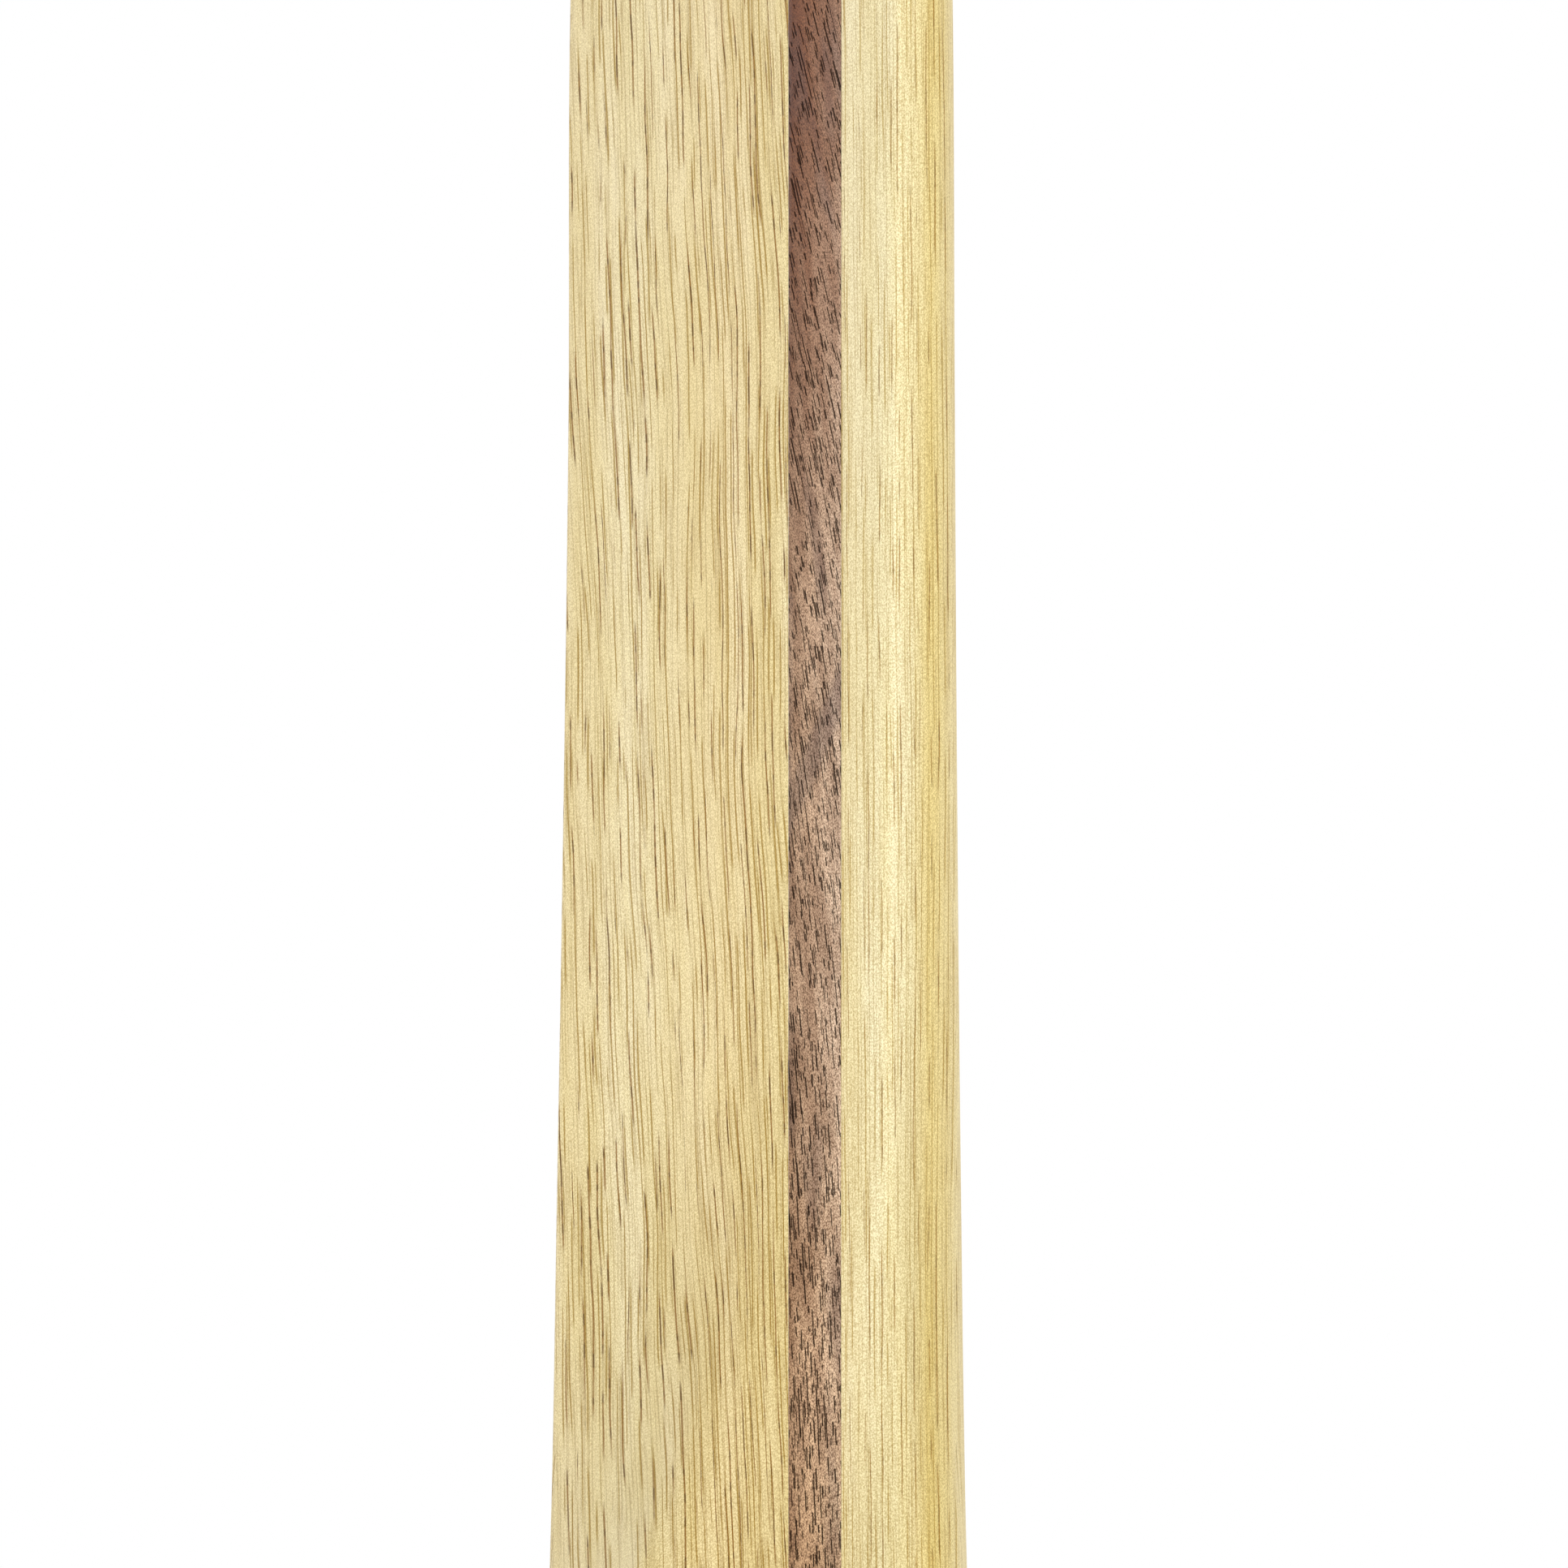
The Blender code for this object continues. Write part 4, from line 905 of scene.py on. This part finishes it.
def makePropShaft(pilot, flange, thickness, journal, seat, edge, fillet, filletSteps, hole, shoulder, centre):
    low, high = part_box("prop_shaft")
    flangeFront = hubBack - fit
    flangeRear = flangeFront - thickness
    profile = [(seat - edge, low.x), (seat, low.x + edge), (seat, shoulder), (journal, shoulder)]
    profile += roundEdge(journal + fillet, flangeRear - fillet, fillet, 180, 90, filletSteps)
    profile += roundEdge(flange - edge, flangeRear + edge, edge, -90, 0)
    profile += roundEdge(flange - edge, flangeFront - edge, edge, 0, 90)
    profile += [(pilot, flangeFront)] + roundEdge(pilot - edge, high.x - edge, edge, 0, 90)
    # A turning centre in the end of the pilot
    profile += [(centre, high.x), (centre / 3, high.x - centre / 2)]
    shaft = turnPiece(profile, wideRound, ring=False)
    drill(shaft, hole, flangeRear - past / 2, flangeFront + past / 2, hubSpots, boltRound)
    finishPiece(shaft, "prop_shaft_ground", "propeller", "ground_steel", "prop_shaft")


makeFrontPlate(**frontPlate)
makeHubBolts(**hubBolt)
makePlateWashers(**plateWasher)
makeLockNuts(**lockNut)
makePropShaft(**propShaft)
print("hub hardware turned")


# Bearing unit

screwCount = 4
coverSpots = spotsOf("cover_screw", screwCount)
housingRibs = {"count": 4, "width": 0.007, "rear": 0.0062, "front": 0.040, "inner": 0.034, "outer": 0.0567,
               "edge": 0.0010, "edgeSteps": 3}


def makeRibs(barrel, count, width, rear, front, inner, outer, edge, edgeSteps):
    # Gussets from the barrel down to the flange
    length, height = front - rear, outer - inner
    halfway, halfHeight = rear + length / 2, inner + height / 2
    bpy.ops.mesh.primitive_cube_add(size=1.0, scale=(length, width, height),
                                    location=(halfway, 0, halfHeight))
    first = bpy.context.object
    freezePlace(first)
    editAll(first)
    bpy.ops.mesh.select_mode(type="VERT")
    bpy.ops.mesh.select_all(action="DESELECT")
    objectMode()
    for vertex in first.data.vertices:
        vertex.select = vertex.co.x > halfway and vertex.co.z > halfHeight
    bpy.ops.object.mode_set(mode="EDIT")
    bpy.ops.transform.translate(value=(0, 0, barrel - outer))
    objectMode()
    applyModifier(first, "BEVEL", width=edge, segments=edgeSteps, limit_method="ANGLE")
    ribs = [first]
    for number in range(1, count):
        other = duplicate(first)
        other.rotation_euler = (number * 2 * math.pi / count, 0, 0)
        freezePlace(other)
        ribs.append(other)
    return joinPieces(ribs)


bearingHousing = {
    "recess": 0.0353, "recessEnd": 0.0053, "bore": 0.026, "mouth": 0.0235, "mouthEdge": 0.0004,
    "shoulder": 0.0622, "barrel": 0.038, "thickness": 0.010, "edge": 0.0010, "barrelEdge": 0.0016,
    "fillet": 0.004, "filletSteps": 6, "mountCircle": 0.050, "mountHole": 0.0044, "tapped": 0.0023,
    "tappedDepth": 0.0153,
}


def makeBearingHousing(recess, recessEnd, bore, mouth, mouthEdge, shoulder, barrel, thickness, edge,
                       barrelEdge, fillet, filletSteps, mountCircle, mountHole, tapped, tappedDepth):
    low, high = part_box("bearing_housing")
    rim = high.y - edge
    profile = [(recess, recessEnd), (recess, low.x)]
    profile += roundEdge(rim, low.x + edge, edge, -90, 0)
    profile += roundEdge(rim, thickness - edge, edge, 0, 90)
    profile += roundEdge(barrel + fillet, thickness + fillet, fillet, -90, -180, filletSteps)
    profile += roundEdge(barrel - barrelEdge, high.x - barrelEdge, barrelEdge, 0, 90)
    profile += [(mouth + mouthEdge, high.x), (mouth, high.x - mouthEdge), (mouth, shoulder), (bore, shoulder),
                (bore, recessEnd)]
    housing = turnPiece(profile, wideRound)
    boolean(housing, makeRibs(barrel, **housingRibs), "UNION")
    diagonal = mountCircle * math.sqrt(0.5)
    mountSpots = [(y * diagonal, z * diagonal) for y in (-1, 1) for z in (-1, 1)]
    drill(housing, mountHole, low.x - past, thickness + past, mountSpots, boltRound)
    drill(housing, tapped, recessEnd - past, tappedDepth, coverSpots)
    finishPiece(housing, "bearing_housing_cast", "bearing_unit", "cast_aluminium", "bearing_housing")


rearCover = {"radius": 0.035, "thickness": 0.005, "edge": 0.0006, "spigot": 0.0257, "spigotBore": 0.0225,
             "hole": 0.0023, "counterbore": 0.0038, "counterboreDepth": 0.0028}


def makeRearCover(radius, thickness, edge, spigot, spigotBore, hole, counterbore, counterboreDepth):
    low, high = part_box("rear_cover")
    front = low.x + thickness
    profile = roundEdge(radius - edge, low.x + edge, edge, -90, 0)
    profile += [(radius, front), (spigot, front), (spigot, high.x - edge), (spigot - edge, high.x),
                (spigotBore, high.x), (spigotBore, front)]
    cover = turnPiece(profile, wideRound, ring=False)
    drill(cover, hole, low.x - past, front + past, coverSpots)
    drill(cover, counterbore, low.x - past, low.x + counterboreDepth, coverSpots, boltRound)
    finishPiece(cover, "rear_cover_cast", "bearing_unit", "cast_aluminium", "rear_cover")


coverScrew = {"head": 0.0035, "headHeight": 0.0022, "edge": 0.0004, "shank": 0.002, "tip": 0.0004,
              "socketFlats": 0.0025, "socketDepth": 0.0012}


def makeCoverScrews(head, headHeight, edge, shank, tip, socketFlats, socketDepth):
    low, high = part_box("cover_screw_1")
    headFront = low.x + headHeight
    profile = roundEdge(head - edge, low.x + edge, edge, -90, 0)
    profile += [(head, headFront), (shank, headFront), (shank, high.x - tip), (shank - tip, high.x)]
    screw = turnPiece(profile, boltRound, ring=False)
    drill(screw, socketFlats / math.sqrt(3), low.x - past, low.x + socketDepth, onAxis, hexSides)
    finishCopies(screw, "cover_screw", screwCount, "bearing_unit", "black_steel")


shaftSeal = {"lip": 0.0163, "rim": 0.0232, "edge": 0.0006, "dish": 0.0016, "dishInner": 0.0178,
             "dishOuter": 0.0212}


def makeShaftSeal(lip, rim, edge, dish, dishInner, dishOuter):
    # A lip seal: its front face is dished between the lip and the rim
    low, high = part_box("shaft_seal")
    profile = [(lip, low.x), (lip, high.x - edge), (lip + edge, high.x), (dishInner, high.x),
               (dishInner + dish / 2, high.x - dish), (dishOuter - dish / 2, high.x - dish),
               (dishOuter, high.x)]
    profile += roundEdge(rim - edge, high.x - edge, edge, 90, 0) + [(rim, low.x)]
    finishPiece(turnPiece(profile), "shaft_seal_moulded", "bearing_unit", "rubber", "shaft_seal")


makeBearingHousing(**bearingHousing)
makeRearCover(**rearCover)
makeCoverScrews(**coverScrew)
makeShaftSeal(**shaftSeal)
print("bearing unit turned")


# Carried-over pieces inside the hub and the bearing unit take their finish here

for entry in frame["record"]["subparts"]:
    node = nodes[entry["node"]]
    node.data.materials.clear()
    node.data.materials.append(finishes[entry["material_slot"]])
print("inner pieces finished")


# Floor, world and lamps

stage = {"floorGap": 0.004, "floorSize": 80.0, "floorColour": "F4F3F1", "floorRough": 0.9, "white": "FFFFFF",
         "worldLevel": 0.62, "fadeStart": 0.9, "fadeEnd": 2.6}
# place, size and power
lamps = {
    "keyLamp": ((-1.6, -3.0, 1.2), 2.0, 70.0),
    "fillLamp": ((2.6, -1.8, 0.9), 2.4, 34.0),
    "backLamp": ((0.6, 3.0, 1.8), 2.4, 40.0),
}


def seenRays(add):
    # One for rays that show the background: straight from the camera, mirrored or through glass
    path = add("LightPath", pick=None).outputs
    either = add("Math", {0: path["Is Camera Ray"], 1: path["Is Glossy Ray"]}, operation="MAXIMUM")
    return add("Math", {0: either, 1: path["Is Transmission Ray"]}, operation="MAXIMUM")


bpy.ops.mesh.primitive_plane_add(size=stage["floorSize"], location=(0, 0, cadBox[0].z - stage["floorGap"]))
floor = bpy.context.object
floor.name = "floor"
# The floor takes the shadow close by, and runs out into the white background further off
floorMaterial, add, floorShader = newMaterial("paleFloor")
floorShader.inputs["Base Color"].default_value = linear(stage["floorColour"])
floorShader.inputs["Roughness"].default_value = stage["floorRough"]
reach = add("VectorMath", {0: add("TexCoord", pick="Object")}, "Value", operation="LENGTH")
fade = add("MapRange", {"Value": reach, 1: stage["fadeStart"], 2: stage["fadeEnd"]}, **soft)
fadeSeen = add("Math", {0: fade, 1: seenRays(add)}, operation="MULTIPLY")
glow = add("Emission", {"Color": linear(stage["white"]), "Strength": 1.0})
surface = add("MixShader", {0: fadeSeen, 1: floorShader.outputs[0], 2: glow})
connect(floorMaterial.node_tree.nodes["Material Output"], {"Surface": surface})
floor.data.materials.append(floorMaterial)

world = bpy.data.worlds.new("studio")
scene.world = world
world.use_nodes = True
add = partial(addNode, world.node_tree)
level = add("MapRange", {"Value": seenRays(add), 3: stage["worldLevel"], 4: 1.0})
background = world.node_tree.nodes["Background"]
background.inputs["Color"].default_value = linear(stage["white"])
connect(background, {"Strength": level})

hubCentre = middle("walnut_layer")
for name, (place, size, power) in lamps.items():
    lampData = bpy.data.lights.new(name, "AREA")
    lampData.shape = "DISK"
    lampData.size = size
    lampData.energy = power
    lamp = bpy.data.objects.new(name, lampData)
    lamp.location = place
    lamp.rotation_euler = (hubCentre - lamp.location).to_track_quat("-Z", "Y").to_euler()
    scene.collection.objects.link(lamp)
scene.view_settings.view_transform = "Standard"
print("stage lit")

bpy.context.view_layer.update()
